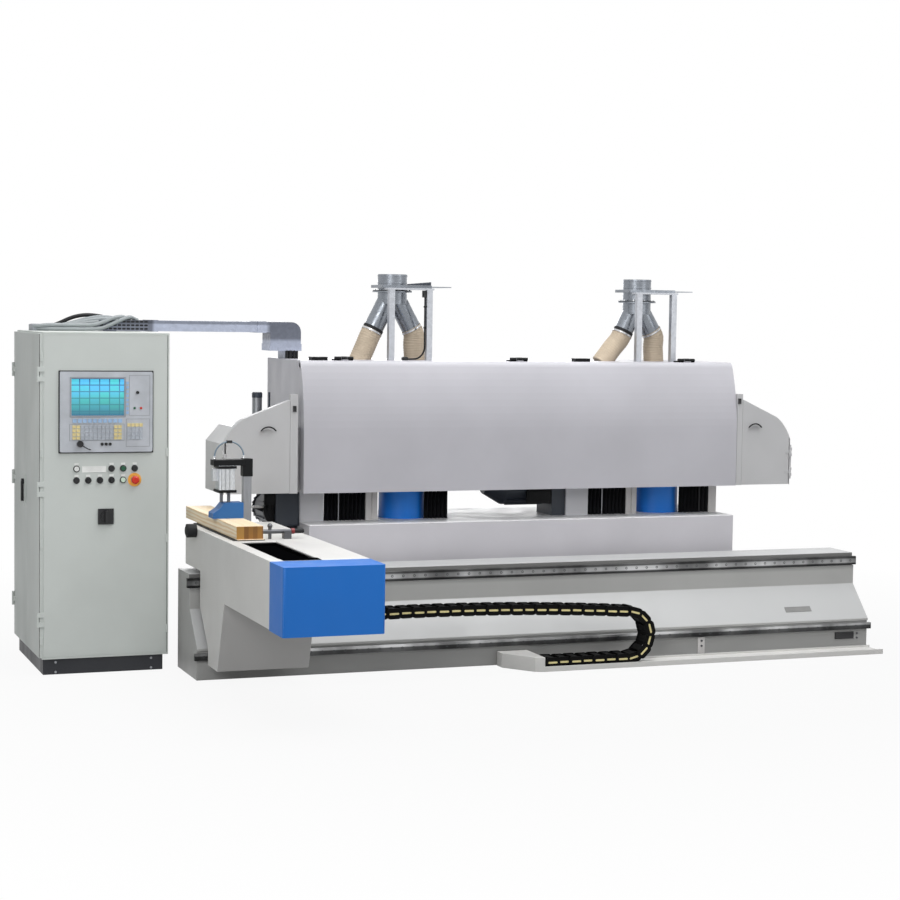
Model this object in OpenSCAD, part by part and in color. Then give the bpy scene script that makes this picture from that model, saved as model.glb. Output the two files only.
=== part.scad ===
// Window tenoner: a sliding work carriage on a long bed feeds past two tenoning stations under a hood.
// Sizes are millimetres. X runs along the bed, Y away from the operator, Z up from the floor.
// Places are measured from the left front corner of the bed, and the origin is under the bed's middle.

/* [Bed] */
// Length of the bed
bed_l = 4720; // [4400:10:5400]
// Depth of the bed at the floor
bed_d = 505; // [480:5:560]
// Height of the bed's top
bed_h = 626; // [610:2:680]
// Distance from the bed's front to the upper rail's seat
rail_seat = 212; // [200:2:230]
// Height of the upper rail
upper_rail_h = 58; // [44:2:64]
// Drop from the bed's top to the upper rail
upper_rail_drop = 25; // [15:1:35]
// Height of the lower rail
lower_rail_h = 42; // [36:2:50]
// Height of the lower rail's underside above the floor
lower_rail_z = 125; // [110:1:128]
// Thickness of both rails
rail_t = 25; // [20:1:28]
// Length of rail that stands past each end of the bed
rail_overhang = 16; // [4:1:30]
// Height where the sloped front ends at the top
slope_top = 412; // [390:2:430]
// Height where the sloped front ends at the bottom
slope_low = 195; // [185:1:205]

/* [Carriage] */
// Place of the carriage's left side on the bed
car_x = 55; // [30:1:120]
// Width of the carriage
car_w = 567; // [520:1:620]
// Height of the carriage table
table_h = 902; // [880:2:940]
// Height of the beam's underside ahead of the bed
beam_low = 527; // [500:1:560]
// Reach of the beam ahead of the bed
car_reach = 1431; // [1250:1:1600]
// Length of carriage behind the bed
car_tail = 35; // [20:1:60]
// Plate thickness of the carriage box
car_wall = 12; // [8:1:16]
// Depth of the knee at its foot
knee_foot = 229; // [180:1:260]
// Depth of the knee under the beam
knee_head = 384; // [330:1:420]
// Height of the knee's foot above the floor
knee_z = 101; // [80:1:115]
// Width of the open slot in the table
slot_w = 215; // [160:1:250]
// Length of the open slot in the table
slot_l = 828; // [700:1:860]
// Length of the end cover
cover_l = 269; // [200:1:320]
// Wall of the end cover
cover_t = 4; // [2:0.5:8]

/* [Clamp] */
// Place of the clamp along the table, behind the bed's front
clamp_y = 70; // [60:1:160]
// Width of the backing timber
timber_w = 162; // [120:1:168]
// Height of the backing timber
timber_h = 76; // [60:1:78]
// Length of the backing timber
timber_l = 1282; // [1000:1:1285]
// Length of backing timber ahead of the bed
timber_reach = 445; // [350:1:460]
// Side of the square clamp column
post_w = 50; // [40:1:60]
// Height of the clamp column above the table
post_h = 443; // [430:1:500]
// Height of the clamp cylinder's body
cylinder_h = 164; // [150:1:166]
// Width of the clamp cylinder
cylinder_w = 104; // [90:1:120]
// Depth of the clamp cylinder
cylinder_d = 116; // [96:1:130]
// Diameter of the two clamp rods
rod_d = 20; // [14:1:26]

/* [Rear base] */
// Place of the rear base's left end
base_x = 890; // [870:1:900]
// Length of the rear base
base_l = 3110; // [2580:1:3700]
// Place of the rear base's front face
base_y = 621; // [605:1:640]
// Depth of the rear base
base_d = 850; // [780:1:880]
// Height of the rear base
base_h = 862; // [840:1:868]

/* [Stations] */
// Place of the first station's left side
station_x = 895; // [892:1:905]
// Place of the stations' front
station_y = 860; // [850:1:880]
// Width of a station column
column_w = 165; // [140:1:175]
// Depth of a station column
column_d = 420; // [300:1:460]
// Side of a guide post
guide_w = 87; // [70:1:90]
// Diameter of a spindle quill
quill_d = 316; // [280:2:318]
// Downward travel of a spindle quill
quill_drop = 250; // [150:1:255]
// Largest diameter of the tool stack
tool_d = 290; // [240:2:300]
// Thickness of a pleated chip screen
screen_t = 36; // [24:1:50]

/* [Hood] */
// Place of the hood's left end
hood_x = 845; // [840:1:850]
// Place of the hood's front
hood_y = 600; // [590:1:606]
// Depth of the hood
hood_d = 890; // [880:1:940]
// Height of the hood's lower edge
hood_z = 1072; // [1060:1:1080]
// Height of the hood's roof
roof_z = 1930; // [1900:1:1960]
// Thickness of the hood's sheet
sheet_t = 6; // [3:0.5:8]
// Wall of the formed front cover
front_t = 16; // [8:1:22]
// Radius of the front cover's curve
front_r = 1190; // [1100:5:1400]
// Opening angle of the front cover's curve
front_arc = 22; // [18:0.5:23]

/* [Guards] */
// Width of the left guard
left_guard_w = 488; // [440:1:500]
// Width of the right guard
right_guard_w = 430; // [415:1:480]
// Depth of the guards
guard_d = 480; // [400:1:520]
// Height of the guards' outer side
guard_low = 320; // [280:1:340]
// Height of the guards' shoulder
guard_mid = 480; // [460:1:500]
// Height of the guards at the hood
guard_top = 640; // [620:1:660]
// Width of the left guard's lock strip
left_strip_w = 51; // [40:1:60]
// Width of the right guard's lock strip
right_strip_w = 40; // [32:1:50]
// Depth of the guards' front frames
guard_frame = 52; // [30:1:80]

/* [Ducts] */
// Place of the left duct along the bed
duct_x = 1589; // [1560:1:1620]
// Place of the ducts behind the bed's front
duct_y = 1050; // [1030:1:1080]
// Outer diameter of the duct collars
collar_d = 200; // [180:2:210]
// Length of the duct collars above the gates
collar_l = 72; // [50:1:90]
// Height of the slide gates above the roof
gate_rise = 490; // [470:1:520]
// Length of a slide gate
gate_l = 500; // [490:1:560]
// Width of a slide gate
gate_w = 220; // [214:1:240]
// Thickness of a slide gate
gate_t = 6; // [3:0.5:8]
// Outer diameter of the duct legs
leg_d = 134; // [120:2:136]
// Wall of the ducts and hoses
duct_t = 3; // [2:0.5:4]
// Ribs on each hose
hose_ribs = 12; // [6:1:16]

/* [Cabinet] */
// Width of the cabinet
cab_w = 800; // [780:1:860]
// Depth of the cabinet
cab_d = 1000; // [900:1:1020]
// Height of the cabinet body
cab_h = 2000; // [1960:1:2000]
// Height of the plinth
plinth_h = 100; // [80:1:100]
// Inset of the plinth
plinth_in = 28; // [10:1:40]
// Gap between the cabinet and the bed's left end
cab_gap = 81; // [70:1:120]
// Place of the cabinet's front
cab_y = 418; // [400:1:440]
// Thickness of the cabinet walls and doors
cab_t = 20; // [14:1:24]
// Width of the control panel frame
hmi_w = 570; // [540:1:600]
// Height of the control panel frame
hmi_h = 492; // [470:1:510]
// Height of the control panel frame's middle
hmi_z = 1616; // [1600:1:1630]
// Width of the screen
screen_w = 323; // [300:1:330]
// Height of the screen
screen_h = 227; // [200:1:232]
// Distance between the push buttons
button_pitch = 71.7; // [60:0.1:73]
// Diameter of the push buttons
button_d = 30; // [22:1:34]

/* [Drag chain] */
// Length of one chain link
link_pitch = 81; // [76:1:83]
// Height of the chain
chain_h = 46; // [40:1:50]
// Width of the chain
chain_w = 140; // [120:1:150]
// Radius of the chain's bend
chain_r = 174; // [160:1:180]
// Links in the upper run
upper_links = 26; // [25:1:26]
// Links in the lower run
lower_links = 7; // [6:1:8]
// Place of the chain ahead of the bed
chain_y = 230; // [222:1:240]
// Height of the trough's lips
trough_h = 34; // [28:1:40]

/* [Cable trunking] */
// Place of the trunking behind the bed's front
trunk_y = 1250; // [1220:1:1280]
// Width of the trunking
trunk_w = 200; // [160:1:220]
// Height of the trunking
trunk_h = 70; // [60:1:80]
// Diameter of the conduits
conduit_d = 26; // [18:1:30]

/* [Hidden] */
$fn = 48;

// Gap between faces that slide or turn past each other
run_gap = 0.3;
// Gap between a hinge pin and its knuckle
pin_gap = 0.08;
// Set-back of the edge between two doors
door_gap = 2;

light_grey = [0.74, 0.75, 0.74];
hood_grey = [0.74, 0.73, 0.76];
machine_blue = [0.10, 0.36, 0.70];
rubber_black = [0.06, 0.06, 0.07];
steel = [0.45, 0.45, 0.46];
galvanised = [0.66, 0.69, 0.72];

// Bed outline, from the floor up
lip_out = 11;
lip_h = 16;
neck_y = rail_seat - 21;
neck_top = bed_h - upper_rail_drop - upper_rail_h - 3;
upper_rail_z = bed_h - upper_rail_drop - upper_rail_h;

// Carriage outline
car_gap = 24;
knee_y = -lip_out - 49;
rear_face = neck_y - 41;
car_floor = bed_h + car_gap;
car_end = bed_d + car_tail;
car_right = car_x + car_w;
slot_x = car_x + 75;
slot_y = -car_reach + 82;

// Backing timber and clamp
strip_t = 6;
timber_x = car_x + 72;
timber_z = table_h + strip_t;
timber_top = timber_z + timber_h;
post_x = timber_x + timber_w + 9;
sleeve_t = 6;
sleeve_h = 108;
cylinder_gap = 52;
arm_t = 36;
arm_z = table_h + post_h - arm_t - 4;
cylinder_x = post_x - sleeve_t - cylinder_gap - cylinder_w;
cylinder_z = arm_z - cylinder_h;
cap_t = 11;
rod_xs = [cylinder_x + 0.28 * cylinder_w, cylinder_x + 0.72 * cylinder_w];
valve_t = 30;
shoe_h = 94;
shoe_z = timber_top + run_gap;
rod_in = 56;

// Stations
station_pitch = base_l - 1187;
quill_dx = 775;
pleat_h = 620;
pleat_edge = 6;
right_pleats_dx = quill_dx + 102;
right_pleats_w = 168;
station_l = right_pleats_dx + right_pleats_w;
quill_y = station_y + 175;
quill_sink = 162;
quill_top = base_h + 224;
well_depth = quill_sink + quill_drop + 20;
tie_l = 120;
tie_z = 60;
tie_h = 240;
post_dx = column_w + 298;
tool_z = quill_top + 40;
quill_neck_d = 180;
cutter_h = 46;
cutter_step = 84;
cutter_top = tool_z + 3 * cutter_step + cutter_h;
spindle_d = 60;
nut_d = 84;
nut_h = 40;
motor_l = 0.64 * (station_pitch - station_l);
motor_d = 270;
motor_z = base_h + 208;
roof_low = roof_z - sheet_t;

// Cross-cut saw
saw_x = base_x - 130;
saw_z = base_h + 78;
saw_hub_d = 90;
saw_hub_l = 20;
saw_d = 240;
saw_motor_d = 210;
saw_motor_l = 240;
saw_motor_y = station_y + 6;
saw_y = saw_motor_y + saw_motor_l + saw_hub_l + run_gap;
lift_d = 62;
lift_l = 160;

// Hood front
hood_l = base_x + base_l - hood_x;
hinge_y = hood_y + 146;
hinge_z = roof_z + 14;
hinge_pin = 6;
hinge_r = 12;
hood_hinge_l = 126;
hood_hinges = [0.098, 0.492, 0.894];
cheek_y = hood_y + 90;
arc_low = roof_z - 34.2 - front_r * sin(front_arc);

// Guards
guard_t = 4;
left_gap = 42;
right_gap = 3;
guard_hinge_r = 8;
guard_pin = 4;
guard_z = hood_z + 2;
hood_right = hood_x + hood_l;

// Ducts
duct_pitch = station_pitch - 92;
gate_z = roof_z + gate_rise;
gate_guide_l = 350;
guide_back = 110;
guide_fork_x = 130;
guide_cut = 100;
guide_t = 7;
flange_zs = [gate_z - 36, gate_z - 79];
leg_lows = [[[-151, 172], [151, 192]], [[-118, 173], [131, 190]]];
hose_feet = [[-227, 165], [-256, 142]];
duct_post_w = 40;
duct_post_xs = [-63, 205];
duct_post_y = duct_y - collar_d / 2 - 85;

// Cabinet
cab_x = -cab_gap - cab_w;
cab_top = plinth_h + cab_h;
body_x = cab_x + cab_t;
door_h = cab_h - 20;
door_z = plinth_h + 10;
door_split = cab_y + cab_d / 2;
hmi_x = cab_x + 407;
hmi_t = 18;
row_zs = [1267, 1196];
button_x = cab_x + 226;
bezel_t = 6;
switch_x = cab_x + 406;
switch_z = 972;
cab_hinge_r = 7;
cab_pin = 4;
cab_hinge_x = cab_x - cab_hinge_r - 1;
handle_l = 125;

// Drag chain
trough_t = 20;
chain_x = car_right + 8;
bend_x = chain_x + upper_links * link_pitch;
low_z = trough_t + run_gap + chain_h / 2;
high_z = low_z + 2 * chain_r;
lower_x = bend_x - lower_links * link_pitch;
trough_w = chain_w + 30;
trough_lip = 4;
trough_end = bed_l - 70;
anchor_l = 205;
anchor_h = low_z + chain_h / 2 + 26;

// Cable trunking
trunk_x = cab_x + 500;
tray_l = 330;
tray_t = 3;
elbow_x = base_x - 122;
elbow_w = 212;
elbow_r = 66;
trunk_z = cab_top + 4;
conduit_z = trunk_z + tray_t + run_gap + conduit_d / 2;

// Shared shapes
module from_corner() translate([-bed_l / 2, -bed_d / 2, 0]) children();

module box(at, size) translate(at) cube(size);

// A profile of [y, z] points drawn along X
module along_x(x, l) translate([x, 0, 0]) rotate([90, 0, 90]) linear_extrude(l) children();

// A profile of [x, z] points drawn along Y
module along_y(y, l) translate([0, y + l, 0]) rotate([90, 0, 0]) linear_extrude(l) children();

module round_rect(w, d, r) {
  translate([r, 0]) square([w - 2 * r, d]);
  translate([0, r]) square([w, d - 2 * r]);
  for (x = [r, w - r], y = [r, d - r])
    translate([x, y]) circle(r);
}

// A cylinder from one [x, z] point to another, at one y
module strut(a, b, y, d, over = 0) {
  run = norm(b - a);
  translate([a[0], y, a[1]])
    rotate([0, atan2(b[0] - a[0], b[1] - a[1]), 0])
      translate([0, 0, -over]) cylinder(d = d, h = run + 2 * over);
}

// Hinge along +Z: two fixed knuckles with their pin, and one turning knuckle between them
module hinge_fixed(l, r, pin) {
  cylinder(r = r, h = l / 3 - run_gap);
  translate([0, 0, 2 * l / 3 + run_gap]) cylinder(r = r, h = l / 3 - run_gap);
  cylinder(r = pin, h = l);
}

module hinge_turning(l, r, pin) translate([0, 0, l / 3]) difference() {
  cylinder(r = r, h = l / 3);
  translate([0, 0, -1]) cylinder(r = pin + pin_gap, h = l / 3 + 2);
}

function bezier(a, b, c, n) = [for (i = [0:n]) let (t = i / n) (1 - t)^2 * a + 2 * t * (1 - t) * b + t^2 * c];

// Bed and rails
module bed() color(light_grey) from_corner() along_x(0, bed_l) polygon([
  [0, 0], [bed_d, 0], [bed_d, bed_h], [rail_seat, bed_h], [rail_seat, neck_top], [neck_y, neck_top],
  [neck_y, slope_top], [-lip_out, slope_low], [-lip_out, slope_low - lip_h], [0, slope_low - lip_h]
]);

// A rail with a relief groove along each running edge
module rail_section(h) polygon([
  [0, 0], [0.4 * rail_t, 0], [0.5 * rail_t, 3], [0.6 * rail_t, 0], [rail_t, 0],
  [rail_t, h], [0.6 * rail_t, h], [0.5 * rail_t, h - 3], [0.4 * rail_t, h], [0, h]
]);

module upper_rail() color(steel) from_corner()
  along_x(-rail_overhang, bed_l + 2 * rail_overhang)
    translate([rail_seat - rail_t, upper_rail_z]) rail_section(upper_rail_h);

module lower_rail() color(steel) from_corner()
  along_x(-rail_overhang, bed_l + 2 * rail_overhang)
    translate([-rail_t, lower_rail_z]) rail_section(lower_rail_h);

// Carriage: a box beam over the bed, with a knee that reaches down to the lower rail
module carriage_frame() color(light_grey) from_corner() difference() {
  along_x(car_x, car_w) polygon([
    [-car_reach, beam_low], [knee_y - knee_head, beam_low], [knee_y - knee_foot, knee_z], [knee_y, knee_z],
    [knee_y, slope_low + 10], [rear_face, slope_top + 18], [rear_face, car_floor], [car_end, car_floor],
    [car_end, table_h], [-car_reach, table_h]
  ]);
  box([car_x + car_wall, -car_reach + car_wall, beam_low + car_wall],
      [car_w - 2 * car_wall, car_reach - 120, table_h - beam_low - 2 * car_wall]);
  box([slot_x, slot_y, table_h - 2 * car_wall], [slot_w, slot_l, 3 * car_wall]);
}

module end_cover() color(machine_blue) from_corner() {
  low = beam_low - 2;
  high = table_h - 2;
  difference() {
    translate([car_x - 2, -car_reach - cover_l, low]) linear_extrude(high - low) difference() {
      round_rect(car_w + 4, cover_l + 30, 14);
      translate([-1, cover_l]) square([car_w + 6, 40]);
    }
    box([car_x - 2 + cover_t, -car_reach - cover_l + cover_t, low + cover_t],
        [car_w + 4 - 2 * cover_t, cover_l, high - low - 2 * cover_t]);
  }
}

module guide_blocks() color(steel) from_corner() {
  block_l = 140;
  for (x = [car_x + 30, car_x + (car_w - block_l) / 2, car_right - 30 - block_l]) {
    box([x, rear_face, upper_rail_z - 4],
        [block_l, rail_seat - rail_t - run_gap - rear_face, upper_rail_h + 8]);
    box([x, knee_y, lower_rail_z - 4], [block_l, -rail_t - run_gap - knee_y, lower_rail_h + 8]);
  }
}

module backing_timber() color([0.80, 0.62, 0.36]) from_corner() {
  box([timber_x, -timber_reach, timber_z], [timber_w, timber_l, timber_h]);
  box([timber_x, -timber_reach - 30, table_h], [timber_w + 4, car_end + timber_reach + 30, strip_t]);
}

module clamp_column() color([0.62, 0.63, 0.64]) from_corner() {
  box([post_x, clamp_y - post_w / 2, table_h], [post_w, post_w, post_h - 8]);
  box([post_x - 6, clamp_y - post_w / 2 - 34, table_h + strip_t + 2], [post_w + 40, post_w + 68, 12]);
  box([post_x + 6, clamp_y - post_w / 2 - 34, table_h], [post_w + 28, post_w + 68, strip_t + 3]);
}

module clamp_arm() color(rubber_black) from_corner() {
  outer = post_w + 2 * sleeve_t;
  top = table_h + post_h;
  difference() {
    union() {
      box([post_x - sleeve_t, clamp_y - outer / 2, top - sleeve_h], [outer, outer, sleeve_h]);
      box([cylinder_x - valve_t, clamp_y - 46, arm_z], [post_x - cylinder_x + valve_t, 92, arm_t]);
    }
    box([post_x - run_gap, clamp_y - post_w / 2 - run_gap, top - sleeve_h - 1],
        [post_w + 2 * run_gap, post_w + 2 * run_gap, sleeve_h - 7]);
  }
}

// Clamp cylinder: an extruded body with sensor grooves between two end caps
module clamp_cylinder() color([0.78, 0.80, 0.81]) from_corner() difference() {
  union() {
    box([cylinder_x, clamp_y - cylinder_d / 2, cylinder_z], [cylinder_w, cylinder_d, cap_t]);
    box([cylinder_x, clamp_y - cylinder_d / 2, arm_z - cap_t], [cylinder_w, cylinder_d, cap_t]);
    translate([cylinder_x + 3, clamp_y - cylinder_d / 2 + 3, cylinder_z + cap_t])
      linear_extrude(cylinder_h - 2 * cap_t) difference() {
        round_rect(cylinder_w - 6, cylinder_d - 6, 8);
        for (k = [0.28, 0.5, 0.72])
          translate([k * (cylinder_w - 6) - 3, -1]) square([6, 6]);
      }
    box([cylinder_x - valve_t, clamp_y - 20, cylinder_z + 70], [valve_t + 3, 40, 74]);
  }
  for (x = rod_xs)
    translate([x, clamp_y, cylinder_z - 1]) cylinder(d = rod_d + 2 * run_gap, h = cylinder_h - cap_t);
}

// Two rods and the wedge shaped shoe that presses on the timber
module clamp_shoe() color(machine_blue) from_corner() {
  left = cylinder_x - 36;
  right = post_x - 8;
  along_y(clamp_y - 58, 116) polygon([
    [left, shoe_z], [right, shoe_z], [right, shoe_z + shoe_h], [cylinder_x + 34, shoe_z + shoe_h],
    [cylinder_x + 4, shoe_z + 0.62 * shoe_h], [left, shoe_z + 0.34 * shoe_h]
  ]);
  for (x = rod_xs)
    translate([x, clamp_y, shoe_z + shoe_h - 1])
      cylinder(d = rod_d, h = cylinder_z + rod_in - shoe_z - shoe_h + 1);
}

// Air line looped from the valve to the sleeve's top, with its two fittings
module air_hose() color([0.45, 0.52, 0.60]) from_corner() {
  left = cylinder_x - valve_t / 2;
  right = post_x + 6;
  loop_z = table_h + post_h + 12;
  translate([left, clamp_y, arm_z + arm_t]) cylinder(d = 18, h = loop_z + 4 - arm_z - arm_t);
  translate([right, clamp_y, table_h + post_h]) cylinder(d = 18, h = 16);
  translate([(left + right) / 2, clamp_y, loop_z]) rotate([90, 0, 0]) rotate_extrude(angle = 180)
    translate([(right - left) / 2, 0]) circle(d = 10);
}

module stop_rod() color([0.20, 0.20, 0.18]) from_corner() {
  y = -timber_reach + 40;
  z = table_h + 44;
  right = timber_x + timber_w + 3;
  translate([right + run_gap, y, z]) rotate([0, 90, 0]) cylinder(d = 26, h = 200);
  box([right + 130, y - 26, table_h], [44, 52, 44]);
  translate([right + 48, y, table_h]) cylinder(d = 20, h = 70);
  translate([right + 48, y, table_h + 78]) sphere(d = 30);
}

// Drag chain: overlapping side plates with a bar across each link
module link_plate(l, h) {
  translate([-(l - h) / 2, -h / 2]) square([l - h, h]);
  for (s = [-1, 1])
    translate([s * (l - h) / 2, 0]) circle(d = h, $fn = 24);
}

module chain_link(outside) {
  plate = 8;
  y = outside ? chain_w / 2 - plate : chain_w / 2 - 2 * plate;
  for (s = [-1, 1])
    translate([0, s > 0 ? y + plate : -y + 0.2, 0]) rotate([90, 0, 0])
      linear_extrude(plate + 0.2) link_plate(link_pitch + 20, chain_h);
  for (z = [-chain_h / 2 + 3, chain_h / 2 - 9])
    translate([-20, -y - 1, z]) cube([40, 2 * y + 2, 6]);
}

module chain_run(x, z, links, first) translate([x, -chain_y, z]) for (i = [0:links - 1])
  intersection() {
    translate([(i + 0.5) * link_pitch, 0, 0]) chain_link((i + first) % 2 == 0);
    translate([0, -chain_w, -chain_h]) cube([links * link_pitch, 2 * chain_w, 2 * chain_h]);
  }

module chain_upper() color(rubber_black) from_corner() {
  chain_run(chain_x, high_z, upper_links, 0);
  box([car_right, -chain_y - chain_w / 2, high_z - chain_h / 2], [chain_x - car_right, chain_w, chain_h]);
}

module chain_lower() color(rubber_black) from_corner() chain_run(lower_x, low_z, lower_links, 0);

module chain_bend() color(rubber_black) from_corner() translate([bend_x, -chain_y, low_z + chain_r]) {
  links = round(PI * chain_r / link_pitch);
  step = 180 / links;
  intersection() {
    union()
      for (i = [0:links - 1])
        rotate([0, (i + 0.5) * step, 0]) translate([0, 0, chain_r]) chain_link(i % 2 == 0);
    translate([run_gap, -chain_w, -chain_r - chain_h / 2]) cube([4 * chain_r, 2 * chain_w, 4 * chain_r]);
  }
}

// Floor trough for the chain, with the box that holds the chain's fixed end
module chain_trough() color(light_grey) from_corner() {
  y = -chain_y - trough_w / 2;
  difference() {
    box([lower_x, y, 0], [trough_end - lower_x, trough_w, trough_h]);
    box([lower_x - 1, y + trough_lip, trough_t],
        [trough_end - lower_x + 2, trough_w - 2 * trough_lip, trough_h]);
  }
  linear_extrude(anchor_h) polygon([
    [lower_x, y], [lower_x - 60, y + 20], [lower_x - anchor_l, -95], [lower_x - anchor_l, -6], [lower_x, -6]
  ]);
}

// Rear base with a well under each quill
module rear_base() color(light_grey) from_corner() difference() {
  union() {
    box([base_x, base_y, 0], [base_l, base_d, base_h]);
    for (x = [base_x + 300, base_x + base_l / 2, base_x + base_l - 420])
      box([x, bed_d, tie_z], [tie_l, base_y - bed_d + 1, tie_h]);
  }
  for (s = [0, 1])
    translate([station_x + s * station_pitch + quill_dx, quill_y, base_h - well_depth])
      cylinder(d = quill_d + 2 * run_gap, h = well_depth + 1, $fn = 96);
}

module station_columns() color([0.62, 0.62, 0.63]) from_corner() for (s = [0, 1])
  box([station_x + s * station_pitch, station_y, base_h], [column_w, column_d, roof_low - base_h]);

module guide_posts() color(light_grey) from_corner() {
  for (s = [0, 1])
    translate([station_x + s * station_pitch + post_dx, station_y + 16, base_h])
      linear_extrude(roof_low - base_h) difference() {
        round_rect(guide_w, guide_w, 5);
        translate([guide_w / 2 - 5, -1]) square([10, 9]);
      }
  box([hood_right - 72, station_y, base_h], [60, 100, roof_low - base_h]);
}

// Upright pleats: a zigzag sheet drawn upwards
module pleats(w, n) {
  fold = w / n;
  deep = screen_t - 10;
  front = [for (i = [0:2 * n]) [i * fold / 2, i % 2 == 0 ? 0 : deep]];
  back = [for (i = [2 * n:-1:0]) [i * fold / 2, (i % 2 == 0 ? 0 : deep) + 10]];
  polygon(concat(front, back));
}

module chip_screens() color(rubber_black) from_corner() {
  left_w = post_dx - column_w - 2 * pleat_edge;
  y = station_y + pleat_edge;
  for (s = [0, 1]) {
    x = station_x + s * station_pitch;
    translate([x + column_w + pleat_edge, y, base_h]) linear_extrude(pleat_h) pleats(left_w, 10);
    translate([x + right_pleats_dx, y, base_h]) linear_extrude(pleat_h) pleats(right_pleats_w, 6);
  }
}

// Quill: the spindle's round housing, which sinks into the base to bring its tools to the timber
module quill(s) color(machine_blue) from_corner()
  translate([station_x + s * station_pitch + quill_dx, quill_y, base_h - quill_sink]) {
    cylinder(d = quill_d, h = quill_top - base_h + quill_sink - 30, $fn = 96);
    translate([0, 0, quill_top - base_h + quill_sink - 30])
      cylinder(d1 = quill_d, d2 = quill_neck_d, h = 30, $fn = 96);
  }

module left_quill() quill(0);
module right_quill() quill(1);

// One cutter disc with a ring of knife gullets
module cutter(z, d, h) translate([0, 0, z]) difference() {
  cylinder(d = d, h = h);
  for (k = [0:3])
    rotate(k * 90) translate([d / 2 - 26, -2, -1]) cube([30, 34, h + 2]);
}

module tools(s) color([0.55, 0.56, 0.58]) from_corner()
  translate([station_x + s * station_pitch + quill_dx, quill_y, 0]) {
    low = quill_top + run_gap;
    translate([0, 0, low]) cylinder(d = spindle_d, h = cutter_top + nut_h + 20 - low);
    translate([0, 0, low]) cylinder(d = spindle_d + 50, h = tool_z - low);
    for (k = [0:3])
      cutter(tool_z + k * cutter_step, tool_d - (k % 2) * 60, cutter_h);
    translate([0, 0, tool_z]) cylinder(d = spindle_d + 36, h = 3 * cutter_step);
    translate([0, 0, cutter_top]) cylinder(d = nut_d, h = nut_h, $fn = 6);
  }

module left_tools() tools(0);
module right_tools() tools(1);

// Cross-cut saw motor at the left end, and the second station's horizontal motor
module unit_motors() color([0.16, 0.18, 0.20]) from_corner() {
  translate([saw_x, saw_motor_y, saw_z]) rotate([-90, 0, 0]) {
    cylinder(d = saw_motor_d, h = saw_motor_l);
    translate([0, 0, saw_motor_l]) cylinder(d = saw_hub_d, h = saw_hub_l);
    for (k = [0:11])
      rotate(k * 30) translate([saw_motor_d / 2 - 5, -4, 40]) cube([16, 8, saw_motor_l - 70]);
  }
  box([saw_x + 60, saw_motor_y + 30, base_h - 150], [base_x - saw_x - 60, saw_motor_l - 60, 180]);
  lift_x = hood_x - 171;
  lift_y = hood_y + 530;
  lift_top = hood_z + 635;
  translate([lift_x, lift_y, lift_top - lift_l]) cylinder(d = lift_d, h = lift_l);
  translate([lift_x, lift_y, lift_top - 36]) cylinder(d = lift_d + 8, h = 30);
  box([lift_x, lift_y - 25, lift_top - lift_l], [hood_x - lift_x, 50, 30]);
  translate([lift_x + 84, lift_y, lift_top - lift_l + 20]) cylinder(d = 14, h = lift_l - 20);
  x = station_x + station_pitch;
  flange = 0.18 * motor_l;
  translate([x, quill_y - 10, motor_z]) rotate([0, -90, 0]) {
    translate([0, 0, flange]) cylinder(d = motor_d, h = 0.59 * motor_l);
    translate([0, 0, 0.77 * motor_l]) cylinder(d1 = motor_d, d2 = 0.45 * motor_d, h = 0.23 * motor_l);
    for (k = [0:11])
      rotate(k * 30 + 15) translate([motor_d / 2 - 7, -5, 0.23 * motor_l]) cube([16, 10, 0.5 * motor_l]);
  }
  box([x - flange, station_y + 20, base_h], [flange, motor_d - 10, 360]);
}

module saw_blade() color([0.70, 0.71, 0.72]) from_corner()
  translate([saw_x, saw_y + 7, saw_z]) rotate([-90, 0, 0]) {
    teeth = 24;
    linear_extrude(4) polygon([for (k = [0:2 * teeth - 1]) let (
      r = k % 2 == 0 ? saw_d / 2 : saw_d / 2 - 9,
      a = k * 180 / teeth + (k % 2) * 3
    ) [r * cos(a), r * sin(a)]]);
    translate([0, 0, -7]) cylinder(d = 70, h = 8);
    translate([0, 0, 3]) cylinder(d = 50, h = 12, $fn = 6);
  }

// Hood: roof, two sides and back over the stations, open below and in front
module enclosure() color(hood_grey) from_corner() {
  y1 = hood_y + hood_d;
  side_y = cheek_y + 5;
  roof_y = hinge_y + 6;
  box([hood_x, roof_y, roof_low], [hood_l, y1 - roof_y, sheet_t]);
  box([hood_x, y1 - sheet_t, hood_z], [hood_l, sheet_t, roof_z - hood_z]);
  for (x = [hood_x, hood_right - sheet_t])
    along_x(x, sheet_t) polygon([
      [side_y, hood_z], [y1, hood_z], [y1, roof_z], [roof_y, roof_z],
      [roof_y, roof_z - 40], [side_y, roof_z - 60]
    ]);
}

// Black hinge brackets along the roof's front edge, and two low pads behind it
module roof_fittings() color(rubber_black) from_corner() {
  for (k = hood_hinges) {
    x = hood_x + k * hood_l - hood_hinge_l / 2;
    translate([x, hinge_y, hinge_z]) rotate([0, 90, 0]) hinge_fixed(hood_hinge_l, hinge_r, hinge_pin);
    for (dx = [0, 2 * hood_hinge_l / 3 + run_gap])
      box([x + dx, hinge_y, roof_z], [hood_hinge_l / 3 - run_gap, 40, 9]);
    box([x, hinge_y + 20, roof_z], [hood_hinge_l, 50, 9]);
  }
  for (k = [0.047, 0.645])
    box([hood_x + k * hood_l - 55, hinge_y + 14, roof_z], [110, 70, 22]);
}

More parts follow.
